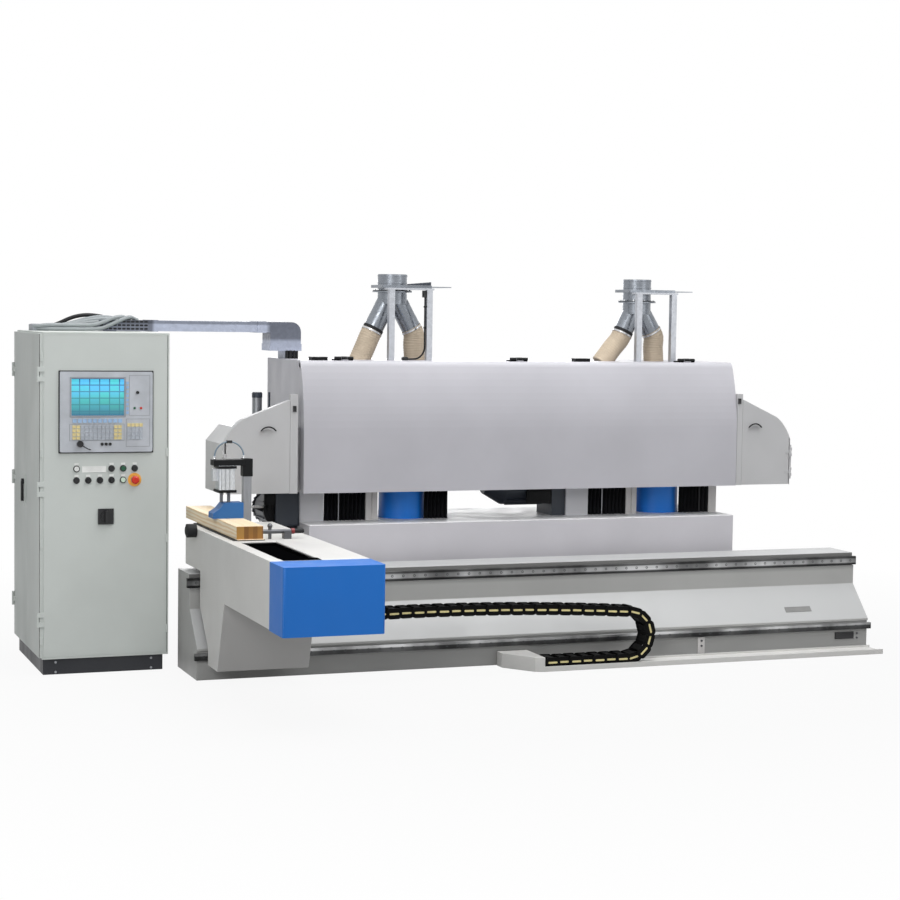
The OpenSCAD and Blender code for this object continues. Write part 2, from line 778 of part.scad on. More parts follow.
// Formed front cover: upright below, curving back to the roof, closed by a cheek at each end
function front_line(in) = concat(
  [[hood_y + in, hood_z + (in > 0 ? front_t : 0)]],
  [for (i = [0:10]) let (a = i * front_arc / 10)
    [hood_y + front_r - (front_r - in) * cos(a), arc_low + (front_r - in) * sin(a)]],
  let (
    p = [hood_y + front_r - (front_r - in) * cos(front_arc), arc_low + (front_r - in) * sin(front_arc)],
    rise = roof_z - in - p[1],
    q = [p[0] + rise * tan(front_arc), roof_z - in]
  ) bezier(p, q, [min(q[0] + 24, hinge_y - 22), roof_z - in], 5),
  [[hinge_y - 16, roof_z - in]]
);

module hood_front() color(hood_grey) from_corner() {
  skin = front_line(0);
  lining = front_line(front_t);
  back = [for (i = [len(lining) - 1:-1:0]) lining[i]];
  along_x(hood_x, hood_l)
    polygon(concat([[hood_y + 46, hood_z]], skin, back, [[hood_y + 46, hood_z + front_t]]));
  middle = front_line(front_t / 2);
  for (x = [hood_x, hood_right - sheet_t])
    along_x(x, sheet_t) intersection() {
      polygon(concat(middle, [[cheek_y + 60, roof_z - 20], [cheek_y + 60, hood_z + front_t]]));
      translate([hood_y, hood_z + front_t / 2]) square([cheek_y - hood_y, roof_z - 70 - hood_z]);
    }
  for (k = hood_hinges) {
    x = hood_x + k * hood_l - hood_hinge_l / 2;
    translate([x, hinge_y, hinge_z]) rotate([0, 90, 0]) hinge_turning(hood_hinge_l, hinge_r, hinge_pin);
    difference() {
      box([x + hood_hinge_l / 3, hinge_y - 34, roof_z - 3], [hood_hinge_l / 3, 34, 9]);
      translate([x, hinge_y, hinge_z]) rotate([0, 90, 0]) cylinder(r = hinge_pin + 4, h = hood_hinge_l);
    }
  }
}

// Guard outline as [x, z] points, with x counted outwards from the lock strip
function guard_line(w, strip, in) = concat(
  [[strip, guard_z + in], [w - in, guard_z + in], [w - in, guard_z + guard_low]],
  bezier([w - in, guard_z + guard_low], [w - 52, guard_z + guard_mid - 40 - in],
         [w - 120, guard_z + guard_mid - in], 6),
  [[strip, guard_z + guard_top - 36 - in]]
);

// Lower outline of the box behind the guard's front frame
function back_line(w, strip, in) = [
  [strip, guard_z + in], [w - in, guard_z + in], [w - in, guard_z + guard_low],
  [w - 90, guard_z + guard_mid - 55 - in], [strip, guard_z + guard_mid - 50 - in]
];

module guard_shell(w, strip, gap) {
  difference() {
    union() {
      along_y(hood_y + 6, guard_frame) polygon(guard_line(w, strip, 0));
      along_y(hood_y + 6, guard_d) polygon(back_line(w, strip, 0));
    }
    along_y(hood_y + 5, guard_frame + 1 - guard_t) intersection() {
      polygon(guard_line(w, strip, guard_t));
      translate([strip + guard_t, 0]) square([w, 2 * roof_z]);
    }
    along_y(hood_y + 5, guard_d + 1 - guard_t) intersection() {
      polygon(back_line(w, strip, guard_t));
      translate([strip + guard_t, 0]) square([w, 2 * roof_z]);
    }
    box([strip + guard_t, hood_y, guard_z - 1], [w - strip - 2 * guard_t, guard_d + 6 - guard_t, 20]);
  }
  box([-gap, cheek_y + 10, guard_z], [strip + gap, 60, guard_mid - 60]);
  box([0, hood_y, guard_z], [strip, 40, guard_top]);
  for (z = [60, guard_low - 120])
    translate([w - 4, hood_y - 6, guard_z + z]) hinge_fixed(60, guard_hinge_r, guard_pin);
  for (z = [60, guard_low - 120], dz = [0, 40 + run_gap])
    box([w - 4, hood_y - 4, guard_z + z + dz], [14, 14, 20 - run_gap]);
  box([w, hood_y + 6, guard_z + 40], [10, 20, guard_low - 80]);
}

module guard_door(w, strip, handle_x) {
  along_y(hood_y, guard_t) intersection() {
    polygon(guard_line(w, strip, 2));
    translate([strip + 2, 0]) square([w - strip - 16, 2 * roof_z]);
  }
  for (z = [60, guard_low - 120]) {
    translate([w - 4, hood_y - 6, guard_z + z]) hinge_turning(60, guard_hinge_r, guard_pin);
    difference() {
      box([w - 40, hood_y - 3, guard_z + z + 20], [36, 4, 20]);
      translate([w - 4, hood_y - 6, guard_z + z]) cylinder(r = guard_pin + 2, h = 60);
    }
  }
  translate([handle_x, hood_y + 1, guard_z + guard_mid - 108]) rotate([90, 0, 0]) difference() {
    cylinder(d = 110, h = 20);
    translate([0, 0, -1]) cylinder(d = 92, h = 22);
    translate([-60, -128, -1]) cube([120, 160, 22]);
  }
}

module at_left() translate([hood_x - left_gap, 0, 0]) mirror([1, 0, 0]) children();
module at_right() translate([hood_right + right_gap, 0, 0]) children();

module guard_shells() color(light_grey) from_corner() {
  at_left() guard_shell(left_guard_w, left_strip_w, left_gap);
  at_right() guard_shell(right_guard_w, right_strip_w, right_gap);
}

module left_guard_door() color(light_grey) from_corner()
  at_left() guard_door(left_guard_w, left_strip_w, left_strip_w + 158);

module right_guard_door() color(light_grey) from_corner()
  at_right() guard_door(right_guard_w, right_strip_w, right_strip_w + 92);

// Extraction: a wye under each slide gate, with two ribbed hoses down to the roof
module wye_shape(s, t) {
  low = flange_zs[s] - 80 + t;
  translate([0, duct_y, low]) cylinder(d = collar_d - 2 * t, h = gate_z - guide_t - low + t);
  for (leg = leg_lows[s])
    strut([0.25 * leg[0], flange_zs[s] - 60], [leg[0], roof_z + leg[1]], duct_y, leg_d - 2 * t, 60 + t);
}

// Tilt of the plane where a leg meets its hose, halfway between their directions
function mitre(leg, foot, top) =
  (atan2(-0.75 * leg[0], top - roof_z - leg[1]) + atan2(leg[0] - foot, leg[1])) / 2;

// A block on one side of that plane
module mitre_block(s, k, side) {
  leg = leg_lows[s][k];
  translate([leg[0], duct_y, roof_z + leg[1]])
    rotate([0, mitre(leg, hose_feet[s][k], flange_zs[s] - 60), 0])
      translate([-105, -105, side > 0 ? 0 : -130]) cube([210, 210, 130]);
}

module gate_guide() difference() {
  box([-guide_back, duct_y - gate_w / 2 - 14, gate_z - guide_t],
      [gate_guide_l, gate_w + 28, 2 * guide_t + gate_t]);
  box([-guide_back - 1, duct_y - gate_w / 2 - run_gap, gate_z - run_gap],
      [gate_guide_l + 2, gate_w + 2 * run_gap, gate_t + 2 * run_gap]);
  translate([0, duct_y, gate_z - guide_cut / 2]) cylinder(d = collar_d - 2 * duct_t, h = guide_cut);
  box([guide_fork_x, duct_y - gate_w / 2 + 20, gate_z - guide_cut / 2],
      [gate_guide_l, gate_w - 40, guide_cut]);
}

module duct_wyes() color(galvanised) from_corner() for (s = [0, 1])
  translate([duct_x + s * duct_pitch, 0, 0]) {
    difference() {
      union() {
        wye_shape(s, 0);
        translate([0, duct_y, flange_zs[s]]) cylinder(d = collar_d + 70, h = 8);
      }
      wye_shape(s, duct_t);
      for (k = [0, 1])
        mitre_block(s, k, -1);
    }
    gate_guide();
    translate([0, duct_y, gate_z + gate_t + guide_t]) difference() {
      cylinder(d = collar_d, h = collar_l);
      translate([0, 0, -1]) cylinder(d = collar_d - 2 * duct_t, h = collar_l + 2);
    }
  }

// A hose drawn as rings of rib and valley round its bore
module ribbed_hose(a, b) {
  run = norm(b - a) + 120;
  rib = run / hose_ribs;
  r = leg_d / 2 + 2;
  translate([a[0], duct_y, a[1]])
    rotate([0, atan2(b[0] - a[0], b[1] - a[1]), 0]) translate([0, 0, -60]) rotate_extrude()
      polygon(concat(
        [[leg_d / 2 - duct_t, 0]],
        [for (i = [0:hose_ribs - 1], k = [0, 1]) [r + k * 4, (i + 0.25 + k * 0.5) * rib]],
        [[leg_d / 2 - duct_t, run]]
      ));
}

module duct_hoses() color([0.82, 0.76, 0.62]) from_corner() for (s = [0, 1], k = [0, 1])
  translate([duct_x + s * duct_pitch, 0, 0]) difference() {
    foot = hose_feet[s][k];
    leg = leg_lows[s][k];
    ribbed_hose([foot, roof_z], [leg[0], roof_z + leg[1]]);
    box([foot - 200, duct_y - 200, roof_z - 200], [400, 400, 200]);
    mitre_block(s, k, 1);
  }

module duct_posts() color(galvanised) from_corner() for (s = [0, 1])
  translate([duct_x + s * duct_pitch, 0, 0]) {
    top = gate_z - guide_t;
    for (x = duct_post_xs)
      box([x - duct_post_w / 2, duct_post_y, roof_z], [duct_post_w, duct_post_w, top - roof_z - 12]);
    box([duct_post_xs[0] - 30, duct_post_y, top - 12],
        [duct_post_xs[1] - duct_post_xs[0] + 60, duct_y - gate_w / 2 - duct_post_y, 12]);
  }

module gate(s) color([0.55, 0.57, 0.60]) from_corner()
  translate([duct_x + s * duct_pitch, 0, 0]) difference() {
    box([-115, duct_y - gate_w / 2, gate_z], [gate_l, gate_w, gate_t]);
    translate([0, duct_y, gate_z - 1]) cylinder(d = collar_d - 2 * duct_t, h = gate_t + 2);
  }

module left_gate() gate(0);
module right_gate() gate(1);

// Trunking from the cabinet's roof to the hood: an open tray, a closed run and a wide elbow down
module cable_trunking() color(galvanised) from_corner() {
  y = trunk_y - trunk_w / 2;
  run_x = trunk_x + tray_l;
  top = trunk_z + trunk_h;
  right = elbow_x + elbow_w;
  difference() {
    box([trunk_x, y, trunk_z], [tray_l + 1, trunk_w, trunk_h]);
    box([trunk_x - 1, y + tray_t, trunk_z + tray_t], [tray_l + 1, trunk_w - 2 * tray_t, trunk_h]);
  }
  along_y(y, trunk_w) polygon(concat(
    [[run_x, trunk_z], [run_x, top]],
    [for (i = [0:6]) [right - elbow_r + elbow_r * sin(i * 15), top - elbow_r + elbow_r * cos(i * 15)]],
    [[right, roof_z + 52], [elbow_x, roof_z + 52], [elbow_x, trunk_z]]
  ));
  for (x = [run_x, elbow_x - 90])
    box([x, y - 3, trunk_z - 3], [60, trunk_w + 6, trunk_h + 6]);
  box([elbow_x - 4, y - 3, roof_z + 52], [elbow_w + 8, trunk_w + 6, 46]);
  box([trunk_x + 60, y + 30, cab_top], [60, trunk_w - 60, 5]);
  box([elbow_x + 0.5 * elbow_w, y + 14, roof_z], [0.42 * elbow_w, trunk_w - 28, 53]);
}

// Gland block on the cabinet's roof, and the conduits that arch over into the tray
module conduits() color([0.55, 0.57, 0.57]) from_corner() {
  gland_x = cab_x + 80;
  gland_h = 40;
  start = gland_x + 50;
  chord = tray_l + 170;
  box([gland_x, trunk_y - 85, cab_top], [100, 170, gland_h]);
  for (k = [0:4]) {
    rise = [40, 52, 46, 58, 80][k];
    arc_r = (chord^2 / 4 + rise^2) / (2 * rise);
    half = asin(chord / 2 / arc_r);
    translate([0, trunk_y + (k - 2) * (conduit_d + 6), conduit_z]) {
      translate([start + chord / 2, 0, rise - arc_r]) rotate([90, 0, 0]) rotate([0, 0, 90 - half])
        rotate_extrude(angle = 2 * half) translate([arc_r, 0]) circle(d = conduit_d);
      translate([start + chord, 0, 0]) {
        sphere(d = conduit_d);
        rotate([0, 90, 0]) cylinder(d = conduit_d, h = trunk_x + tray_l - start - chord);
      }
    }
  }
}

// Electrical cabinet
module cabinet_shell() color([0.72, 0.75, 0.71]) from_corner() {
  difference() {
    box([body_x, cab_y, plinth_h], [cab_w - cab_t, cab_d, cab_h]);
    box([body_x - 1, cab_y + cab_t, plinth_h + cab_t],
        [cab_w - 2 * cab_t + 1, cab_d - 2 * cab_t, cab_h - 2 * cab_t]);
    along_y(cab_y - 1, 4) difference() {
      translate([cab_x + 26, plinth_h + 12]) square([cab_w - 38, cab_h - 24]);
      translate([cab_x + 29, plinth_h + 15]) square([cab_w - 44, cab_h - 30]);
    }
  }
  for (y = [cab_y, cab_y + cab_d], z = [200, cab_h / 2, cab_h - 300])
    translate([0, 0, plinth_h + z]) {
      translate([cab_hinge_x, y, 0]) hinge_fixed(90, cab_hinge_r, cab_pin);
      for (dz = [0, 60 + run_gap])
        box([cab_hinge_x, y > door_split ? y : y - 6, dz], [cab_t + 18, 6, 30 - run_gap]);
    }
}

module cabinet_plinth() color(rubber_black) from_corner()
  box([cab_x + plinth_in, cab_y + plinth_in, 0], [cab_w - 2 * plinth_in, cab_d - 2 * plinth_in, plinth_h]);

module door_leaf(y0, y1, hinge_at) {
  box([cab_x, y0, door_z], [cab_t - 0.5, y1 - y0, door_h]);
  for (z = [200, cab_h / 2, cab_h - 300])
    translate([0, 0, plinth_h + z]) {
      translate([cab_hinge_x, hinge_at, 0]) hinge_turning(90, cab_hinge_r, cab_pin);
      difference() {
        box([cab_x - 6, hinge_at > y1 ? hinge_at - 60 : hinge_at, 30], [7, 60, 30]);
        translate([cab_hinge_x, hinge_at, 0]) cylinder(r = cab_pin + 1.5, h = 90);
      }
    }
}

module front_door() color([0.72, 0.75, 0.71]) from_corner()
  door_leaf(cab_y + 2, door_split - door_gap, cab_y);

module rear_door() color([0.72, 0.75, 0.71]) from_corner() {
  door_leaf(door_split + door_gap, cab_y + cab_d - 2, cab_y + cab_d);
  box([cab_x - 6, door_split + 36, 1000], [7, 44, 190]);
}

// Swing handle that hangs from its pivot on the rear door
module door_handle() color(rubber_black) from_corner()
  translate([cab_x - 6 - run_gap, door_split + 58, 1150]) rotate([0, -90, 0]) {
    cylinder(d = 34, h = 16);
    translate([-handle_l, -13, 4]) cube([handle_l, 26, 14]);
  }

module electrical_plate() color([0.70, 0.71, 0.72]) from_corner() {
  x = -cab_gap - cab_t;
  side = 0.08 * cab_d;
  drive_w = 0.15 * cab_d;
  box([x - 30, cab_y + side, plinth_h + 0.06 * cab_h], [4, cab_d - 2 * side, 0.88 * cab_h]);
  for (y = [cab_y + 0.14 * cab_d, cab_y + 0.82 * cab_d], z = [0.1, 0.88])
    box([x - 27, y, plinth_h + z * cab_h], [27, 40, 40]);
  for (k = [0:3])
    box([x - 250, cab_y + (0.12 + 0.2 * k) * cab_d, plinth_h + 0.575 * cab_h], [220, drive_w, 0.19 * cab_h]);
  for (z = [0.15, 0.31, 0.45])
    box([x - 110, cab_y + 0.12 * cab_d, plinth_h + z * cab_h], [80, 0.76 * cab_d, 0.055 * cab_h]);
}

// Control panel frame with its key pads, and the screen set in it
module hmi_frame() color([0.75, 0.76, 0.75]) from_corner() {
  y = cab_y - hmi_t;
  low = hmi_z - hmi_h / 2;
  screen_x = hmi_x - hmi_w / 2 + 70;
  screen_z = hmi_z + hmi_h / 2 - 42 - screen_h;
  difference() {
    along_y(y, hmi_t) translate([hmi_x - hmi_w / 2, low]) round_rect(hmi_w, hmi_h, 12);
    box([screen_x, y - 1, screen_z], [screen_w, 9, screen_h]);
  }
  for (r = [0:3], c = [0:11])
    box([screen_x + 6 + c * 25.5, y - 3, low + 78 + r * 23], [20, 4, 17]);
  for (r = [0:3], c = [0:3])
    box([screen_x + screen_w + 20 + c * 25, y - 3, low + 78 + r * 26], [19, 4, 19]);
  for (c = [0:9])
    box([screen_x + 8 + c * 31, y - 3, screen_z - 42], [22, 4, 22]);
}

module hmi_screen() color([0.20, 0.45, 0.75]) from_corner() {
  x = hmi_x - hmi_w / 2 + 70;
  z = hmi_z + hmi_h / 2 - 42 - screen_h;
  box([x + run_gap, cab_y - hmi_t + 4, z + run_gap], [screen_w - 2 * run_gap, 4, screen_h - 2 * run_gap]);
}

// Place of a control by its column and row
module at_control(column, row) translate([button_x + column * button_pitch, cab_y, row_zs[row]])
  rotate([90, 0, 0]) children();

module control_bezels() color([0.15, 0.15, 0.16]) from_corner() {
  for (at = [[0, 0], [3, 0], [4, 0], [5, 0], [0, 1], [1, 1], [2, 1], [3, 1], [4, 1], [5, 1]])
    at_control(at[0], at[1]) difference() {
      cylinder(d = button_d + 10, h = bezel_t);
      translate([0, 0, 1]) cylinder(d = button_d + 2 * run_gap, h = bezel_t);
    }
  translate([switch_x - 48, cab_y - 10, switch_z - 48]) cube([96, 10, 96]);
}

// Push buttons stand proud of their bezels by their travel
module push_button(column, tint) color(tint) from_corner() at_control(column[0], column[1])
  translate([0, 0, bezel_t - 0.6]) {
    cylinder(d = button_d, h = 5);
    translate([0, 0, 5]) cylinder(d1 = button_d, d2 = button_d - 4, h = 4);
  }

module white_button() push_button([0, 0], [0.90, 0.90, 0.88]);
module black_button() push_button([3, 0], rubber_black);
module green_button() push_button([4, 0], [0.05, 0.28, 0.16]);
module dark_button() push_button([5, 0], [0.12, 0.13, 0.15]);
module square_button() push_button([0, 1], rubber_black);
module start_button() push_button([4, 1], [0.80, 0.86, 0.80]);

module selector(column) color(rubber_black) from_corner() at_control(column, 1)
  translate([0, 0, 1 + run_gap]) {
    cylinder(d = button_d, h = 9);
    translate([-5, -button_d / 2 + 1, 8]) cube([10, button_d - 2, 14]);
  }

module selector_left() selector(1);
module selector_middle() selector(2);
module selector_right() selector(3);

module emergency_stop() color([0.80, 0.16, 0.06]) from_corner() at_control(5, 1)
  translate([0, 0, bezel_t - 0.6]) {
    cylinder(d = button_d, h = 16);
    translate([0, 0, 16]) cylinder(d1 = button_d + 8, d2 = button_d + 20, h = 8);
    translate([0, 0, 24]) cylinder(d1 = button_d + 20, d2 = button_d, h = 8);
  }

module main_switch() color(rubber_black) from_corner()
  translate([switch_x, cab_y - 10 - run_gap, switch_z]) rotate([90, 0, 0]) {
    cylinder(d = 62, h = 12);
    translate([-9, -36, 8]) cube([18, 72, 26]);
  }

bed();
upper_rail();
lower_rail();
rear_base();
enclosure();
roof_fittings();
station_columns();
guide_posts();
chip_screens();
guard_shells();
unit_motors();
duct_wyes();
duct_hoses();
duct_posts();
cable_trunking();
conduits();
cabinet_shell();
cabinet_plinth();
hmi_frame();
hmi_screen();
control_bezels();
electrical_plate();
chain_trough();
chain_lower();
carriage_frame();
end_cover();
guide_blocks();
backing_timber();
clamp_column();
clamp_arm();
clamp_cylinder();
air_hose();
stop_rod();
chain_upper();
clamp_shoe();
chain_bend();
saw_blade();
left_gate();
right_gate();
hood_front();
left_guard_door();
right_guard_door();
left_quill();
left_tools();
right_quill();
right_tools();
front_door();
rear_door();
door_handle();
main_switch();
white_button();
black_button();
green_button();
dark_button();
square_button();
start_button();
selector_left();
selector_middle();
selector_right();
emergency_stop();
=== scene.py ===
# %% [markdown]
# # A window tenoner in the studio
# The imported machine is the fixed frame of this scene. The lesson dresses it: finishes for every
# part, hoses and cables, the links of the drag chain, keys, screws, plates and clips. Each step
# says what the thing is on the real machine, how it could be made, and why this way was chosen.

# %% Load the machine
import math

import bpy
from mathutils import Matrix, Vector


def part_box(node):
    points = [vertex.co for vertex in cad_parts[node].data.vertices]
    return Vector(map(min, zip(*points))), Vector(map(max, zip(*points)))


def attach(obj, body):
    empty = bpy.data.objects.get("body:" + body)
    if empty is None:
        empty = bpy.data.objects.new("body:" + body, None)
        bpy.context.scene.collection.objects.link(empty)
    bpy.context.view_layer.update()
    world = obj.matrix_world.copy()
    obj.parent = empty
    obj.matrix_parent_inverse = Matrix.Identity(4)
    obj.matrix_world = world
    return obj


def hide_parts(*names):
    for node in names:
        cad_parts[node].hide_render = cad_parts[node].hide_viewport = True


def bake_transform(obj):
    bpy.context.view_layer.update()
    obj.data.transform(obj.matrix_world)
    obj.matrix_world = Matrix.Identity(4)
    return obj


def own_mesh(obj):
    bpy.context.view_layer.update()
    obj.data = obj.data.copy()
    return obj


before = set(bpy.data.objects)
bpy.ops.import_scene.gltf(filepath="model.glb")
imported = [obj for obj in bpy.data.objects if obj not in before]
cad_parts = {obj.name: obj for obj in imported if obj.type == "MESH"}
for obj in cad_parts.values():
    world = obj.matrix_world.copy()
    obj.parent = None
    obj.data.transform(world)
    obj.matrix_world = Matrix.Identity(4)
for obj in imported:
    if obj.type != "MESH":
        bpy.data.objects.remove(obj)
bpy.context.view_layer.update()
scene = bpy.context.scene

# %% [markdown]
# ## Where things are
# A fitter measures with a tape from the left front corner of the bed, in millimetres. Blender
# works in metres from the middle of the bed's foot. One small helper turns the first into the
# second, so every place below can be checked against the machine. Another reads a solid's front.

# %% Place helper
BED_MIDDLE = Vector((2360, 252.5, 0))


def at(x, y, z):
    return (Vector((x, y, z)) - BED_MIDDLE) / 1000


def front_of(node):
    """How far forward a solid of the machine reaches, on the fitter's tape."""
    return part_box(node)[0][1] * 1000 + BED_MIDDLE.y


print("bed's left front corner", at(0, 0, 0))

# %% [markdown]
# ## The camera
# The machine is seen from its left front, a little above the table, through a long lens. Yaw,
# pitch and roll turn into three directions, which are the columns of the camera's matrix. That
# is plainer than aiming with a constraint, because the roll is kept as well.

# %% Camera
YAW, PITCH, ROLL = 0.362444, -0.067980, 0.0146046
ahead = Vector((math.sin(YAW) * math.cos(PITCH), math.cos(YAW) * math.cos(PITCH), math.sin(PITCH)))
level = Vector((math.cos(YAW), -math.sin(YAW), 0))
upright = level.cross(ahead)
right = math.cos(ROLL) * level + math.sin(ROLL) * upright
up = math.cos(ROLL) * upright - math.sin(ROLL) * level
camera = bpy.data.objects.new("studio_camera", bpy.data.cameras.new("studio_camera"))
camera.data.lens = 80.27
camera.data.sensor_width = 36
camera.matrix_world = (Matrix.Translation(at(-2855.6, -11816.0, 2248.3))
                       @ Matrix((right, up, -ahead)).transposed().to_4x4())
scene.collection.objects.link(camera)
scene.camera = camera
scene.view_settings.view_transform = "Standard"
print("camera at", camera.matrix_world.translation)

# %% [markdown]
# ## Finishes: the tools
# A finish is a Principled shader fed by a few textures. Small helpers keep the recipes short: they
# add a node, join two sockets, lay a noise on the piece's own coordinates, which can be stretched
# along one direction for brushing or grain, and mix colours by height or by where a face looks.

# %% Colours


def screen_colour(red, green, blue):
    """A colour as it is read off a screen, 0 to 255, as the linear value that a shader wants."""
    return tuple(((c / 255 + 0.055) / 1.055) ** 2.4 if c > 10 else c / 255 / 12.92
                 for c in (red, green, blue)) + (1.0,)


WHITE = (1.0, 1.0, 1.0, 1.0)


def shade(colour, factor):
    return tuple(min(1.0, c * factor) for c in colour[:3]) + (1.0,)


print("middle grey", screen_colour(128, 128, 128)[0])

# %% Nodes


def put(mat, kind, sockets=None, **settings):
    made = mat.node_tree.nodes.new(kind)
    for key, value in settings.items():
        setattr(made, key, value)
    for key, value in (sockets or {}).items():
        made.inputs[key].default_value = value
    return made


def wire(mat, source, output, target, socket):
    mat.node_tree.links.new(source.outputs[output], target.inputs[socket])


def shader_of(mat):
    return mat.node_tree.nodes["Principled BSDF"]


def new_finish(name, rough, metal=0.0, gloss=0.5):
    mat = bpy.data.materials.new(name)
    mat.use_nodes = True
    shader = shader_of(mat)
    shader.inputs["Roughness"].default_value = rough
    shader.inputs["Metallic"].default_value = metal
    shader.inputs["Specular IOR Level"].default_value = gloss
    return mat, shader


def colour_source(mat):
    """The node that gives a finish its colour so far."""
    return shader_of(mat).inputs["Base Color"].links[0].from_node


print("node helpers ready")

# %% Textures


def noise(mat, scale, detail=3.0, stretch=(1, 1, 1)):
    place = put(mat, "ShaderNodeTexCoord")
    scaled = put(mat, "ShaderNodeMapping", {"Scale": stretch})
    made = put(mat, "ShaderNodeTexNoise", {"Scale": scale, "Detail": detail})
    wire(mat, place, "Object", scaled, "Vector")
    wire(mat, scaled, "Vector", made, "Vector")
    return made


def ramp(mat, source, output, stops):
    made = put(mat, "ShaderNodeValToRGB")
    while len(made.color_ramp.elements) < len(stops):
        made.color_ramp.elements.new(0.5)
    for element, (place, colour) in zip(made.color_ramp.elements, stops):
        element.position = place
        element.color = colour
    wire(mat, source, output, made, "Fac")
    return made


def spread(mat, source, output, low, high):
    """The texture's middle range, turned into a range of numbers."""
    made = put(mat, "ShaderNodeMapRange", {"From Min": 0.3, "From Max": 0.7, "To Min": low, "To Max": high})
    wire(mat, source, output, made, "Value")
    return made


def bumps(mat, shader, source, output, strength, depth):
    made = put(mat, "ShaderNodeBump", {"Strength": strength, "Distance": depth})
    wire(mat, source, output, made, "Height")
    wire(mat, made, "Normal", shader, "Normal")
    return made


print("texture helpers ready")

# %% Mixing
MIX_FACTOR, MIX_A, MIX_B, MIX_RESULT = 0, 6, 7, 2


def two_colours(mat, made, first, second):
    """Feed a mix node with two colours or colour nodes."""
    for socket, value in ((MIX_A, first), (MIX_B, second)):
        if isinstance(value, tuple):
            made.inputs[socket].default_value = value
        else:
            wire(mat, value, MIX_RESULT if value.bl_idname == "ShaderNodeMix" else "Color", made, socket)
    return made


def mix(mat, factor, output, first, second):
    """Two colours or colour nodes mixed by a node's output."""
    made = put(mat, "ShaderNodeMix", data_type="RGBA")
    wire(mat, factor, output, made, MIX_FACTOR)
    return two_colours(mat, made, first, second)


def multiply(mat, first, second, share=1.0):
    """One colour node darkened by another."""
    made = put(mat, "ShaderNodeMix", {MIX_FACTOR: share}, data_type="RGBA", blend_type="MULTIPLY")
    return two_colours(mat, made, first, second)


def between(mat, source, output, axis, low, high):
    """0 to 1 as one part of a vector goes from low to high."""
    parts = put(mat, "ShaderNodeSeparateXYZ")
    made = put(mat, "ShaderNodeMapRange", {"From Min": low, "From Max": high})
    wire(mat, source, output, parts, "Vector")
    wire(mat, parts, axis, made, "Value")
    return made


def along_axis(mat, axis, low, high):
    """0 to 1 between two places along one of the piece's own axes."""
    return between(mat, put(mat, "ShaderNodeTexCoord"), "Object", axis, low, high)


def facing(mat, axis, low, high):
    """0 to 1 as a face turns to look along an axis."""
    return between(mat, put(mat, "ShaderNodeNewGeometry"), "Normal", axis, low, high)


def greys(mat, source, stops):
    """A ramp of plain greys, to multiply a colour with."""
    return ramp(mat, source, "Result", [(place, shade(WHITE, bright)) for place, bright in stops])


print("mixing helpers ready")

# %% [markdown]
# ## Painted sheet
# Most of the machine is folded sheet with a sprayed enamel: slightly cloudy in tone, with a faint
# orange peel, duller where hands and rags have been, dusty towards the floor and rubbed bright
# along its edges. A Bevel node finds the edges, because it looks sideways at the next face. On
# the bed and the base the faces that look up are painted lighter, as painted light from above.
# Under the carriage's knee the faces that look down are painted darker as painted shade, and a
# painted shadow darkens the bed's front just below the upper rail.

# %% Paint recipe
DUST_TOP, RAIL_SHADE = 0.16, 0.42


def paint(name, colour, rough=0.42, wear=0.5, lit_tops=None, below=None, rail_shadow=None, gloss=0.5):
    """Enamel; options paint light on upward faces, shade on downward faces and a shadow band by height."""
    mat, shader = new_finish(name, rough, gloss=gloss)
    clouds = noise(mat, 1.7, 4.0)
    base = ramp(mat, clouds, "Fac", [(0.3, shade(colour, 0.93)), (0.7, shade(colour, 1.04))])
    smears = noise(mat, 6.0, 8.0, (1, 1, 0.35))
    wire(mat, spread(mat, smears, "Fac", rough - 0.08, rough + 0.12), "Result", shader, "Roughness")
    low = along_axis(mat, "Z", DUST_TOP, 0.0)
    low.inputs["To Max"].default_value = 0.35
    dust_and_painted_light = mix(mat, low, "Result", base, shade(colour, 0.62))
    # painted shadow: faces that look forward darken over a height range, as under the bed's upper rail
    if rail_shadow:
        shadow_ramp = greys(mat, along_axis(mat, "Z", *rail_shadow), [(0.0, 1.0), (1.0, RAIL_SHADE)])
        dust_and_painted_light = mix(mat, facing(mat, "Y", -0.5, -0.8), "Result", dust_and_painted_light, multiply(mat, dust_and_painted_light, shadow_ramp))
    # painted light on faces that look up, painted shade on faces that look down
    for layer, tilt in ((below, (-0.1, -0.3)), (lit_tops, (0.3, 0.65))):
        if layer:
            coat = mix(mat, clouds, "Fac", shade(layer, 0.94), layer)
            dust_and_painted_light = mix(mat, facing(mat, "Z", *tilt), "Result", dust_and_painted_light, coat)
    rounded = put(mat, "ShaderNodeBevel", {"Radius": 0.004}, samples=4)
    along = put(mat, "ShaderNodeVectorMath", operation="DOT_PRODUCT")
    wire(mat, rounded, "Normal", along, 0)
    wire(mat, put(mat, "ShaderNodeNewGeometry"), "Normal", along, 1)
    edge = put(mat, "ShaderNodeMapRange", {"From Min": 0.97, "From Max": 0.8, "To Max": wear})
    wire(mat, along, "Value", edge, "Value")
    worn_and_painted_light = mix(mat, edge, "Result", dust_and_painted_light, shade(colour, 1.35))
    wire(mat, worn_and_painted_light, MIX_RESULT, shader, "Base Color")
    bumps(mat, shader, noise(mat, 420.0, 2.0), "Fac", 0.06, 0.0006)
    return mat


print("paint recipe ready")
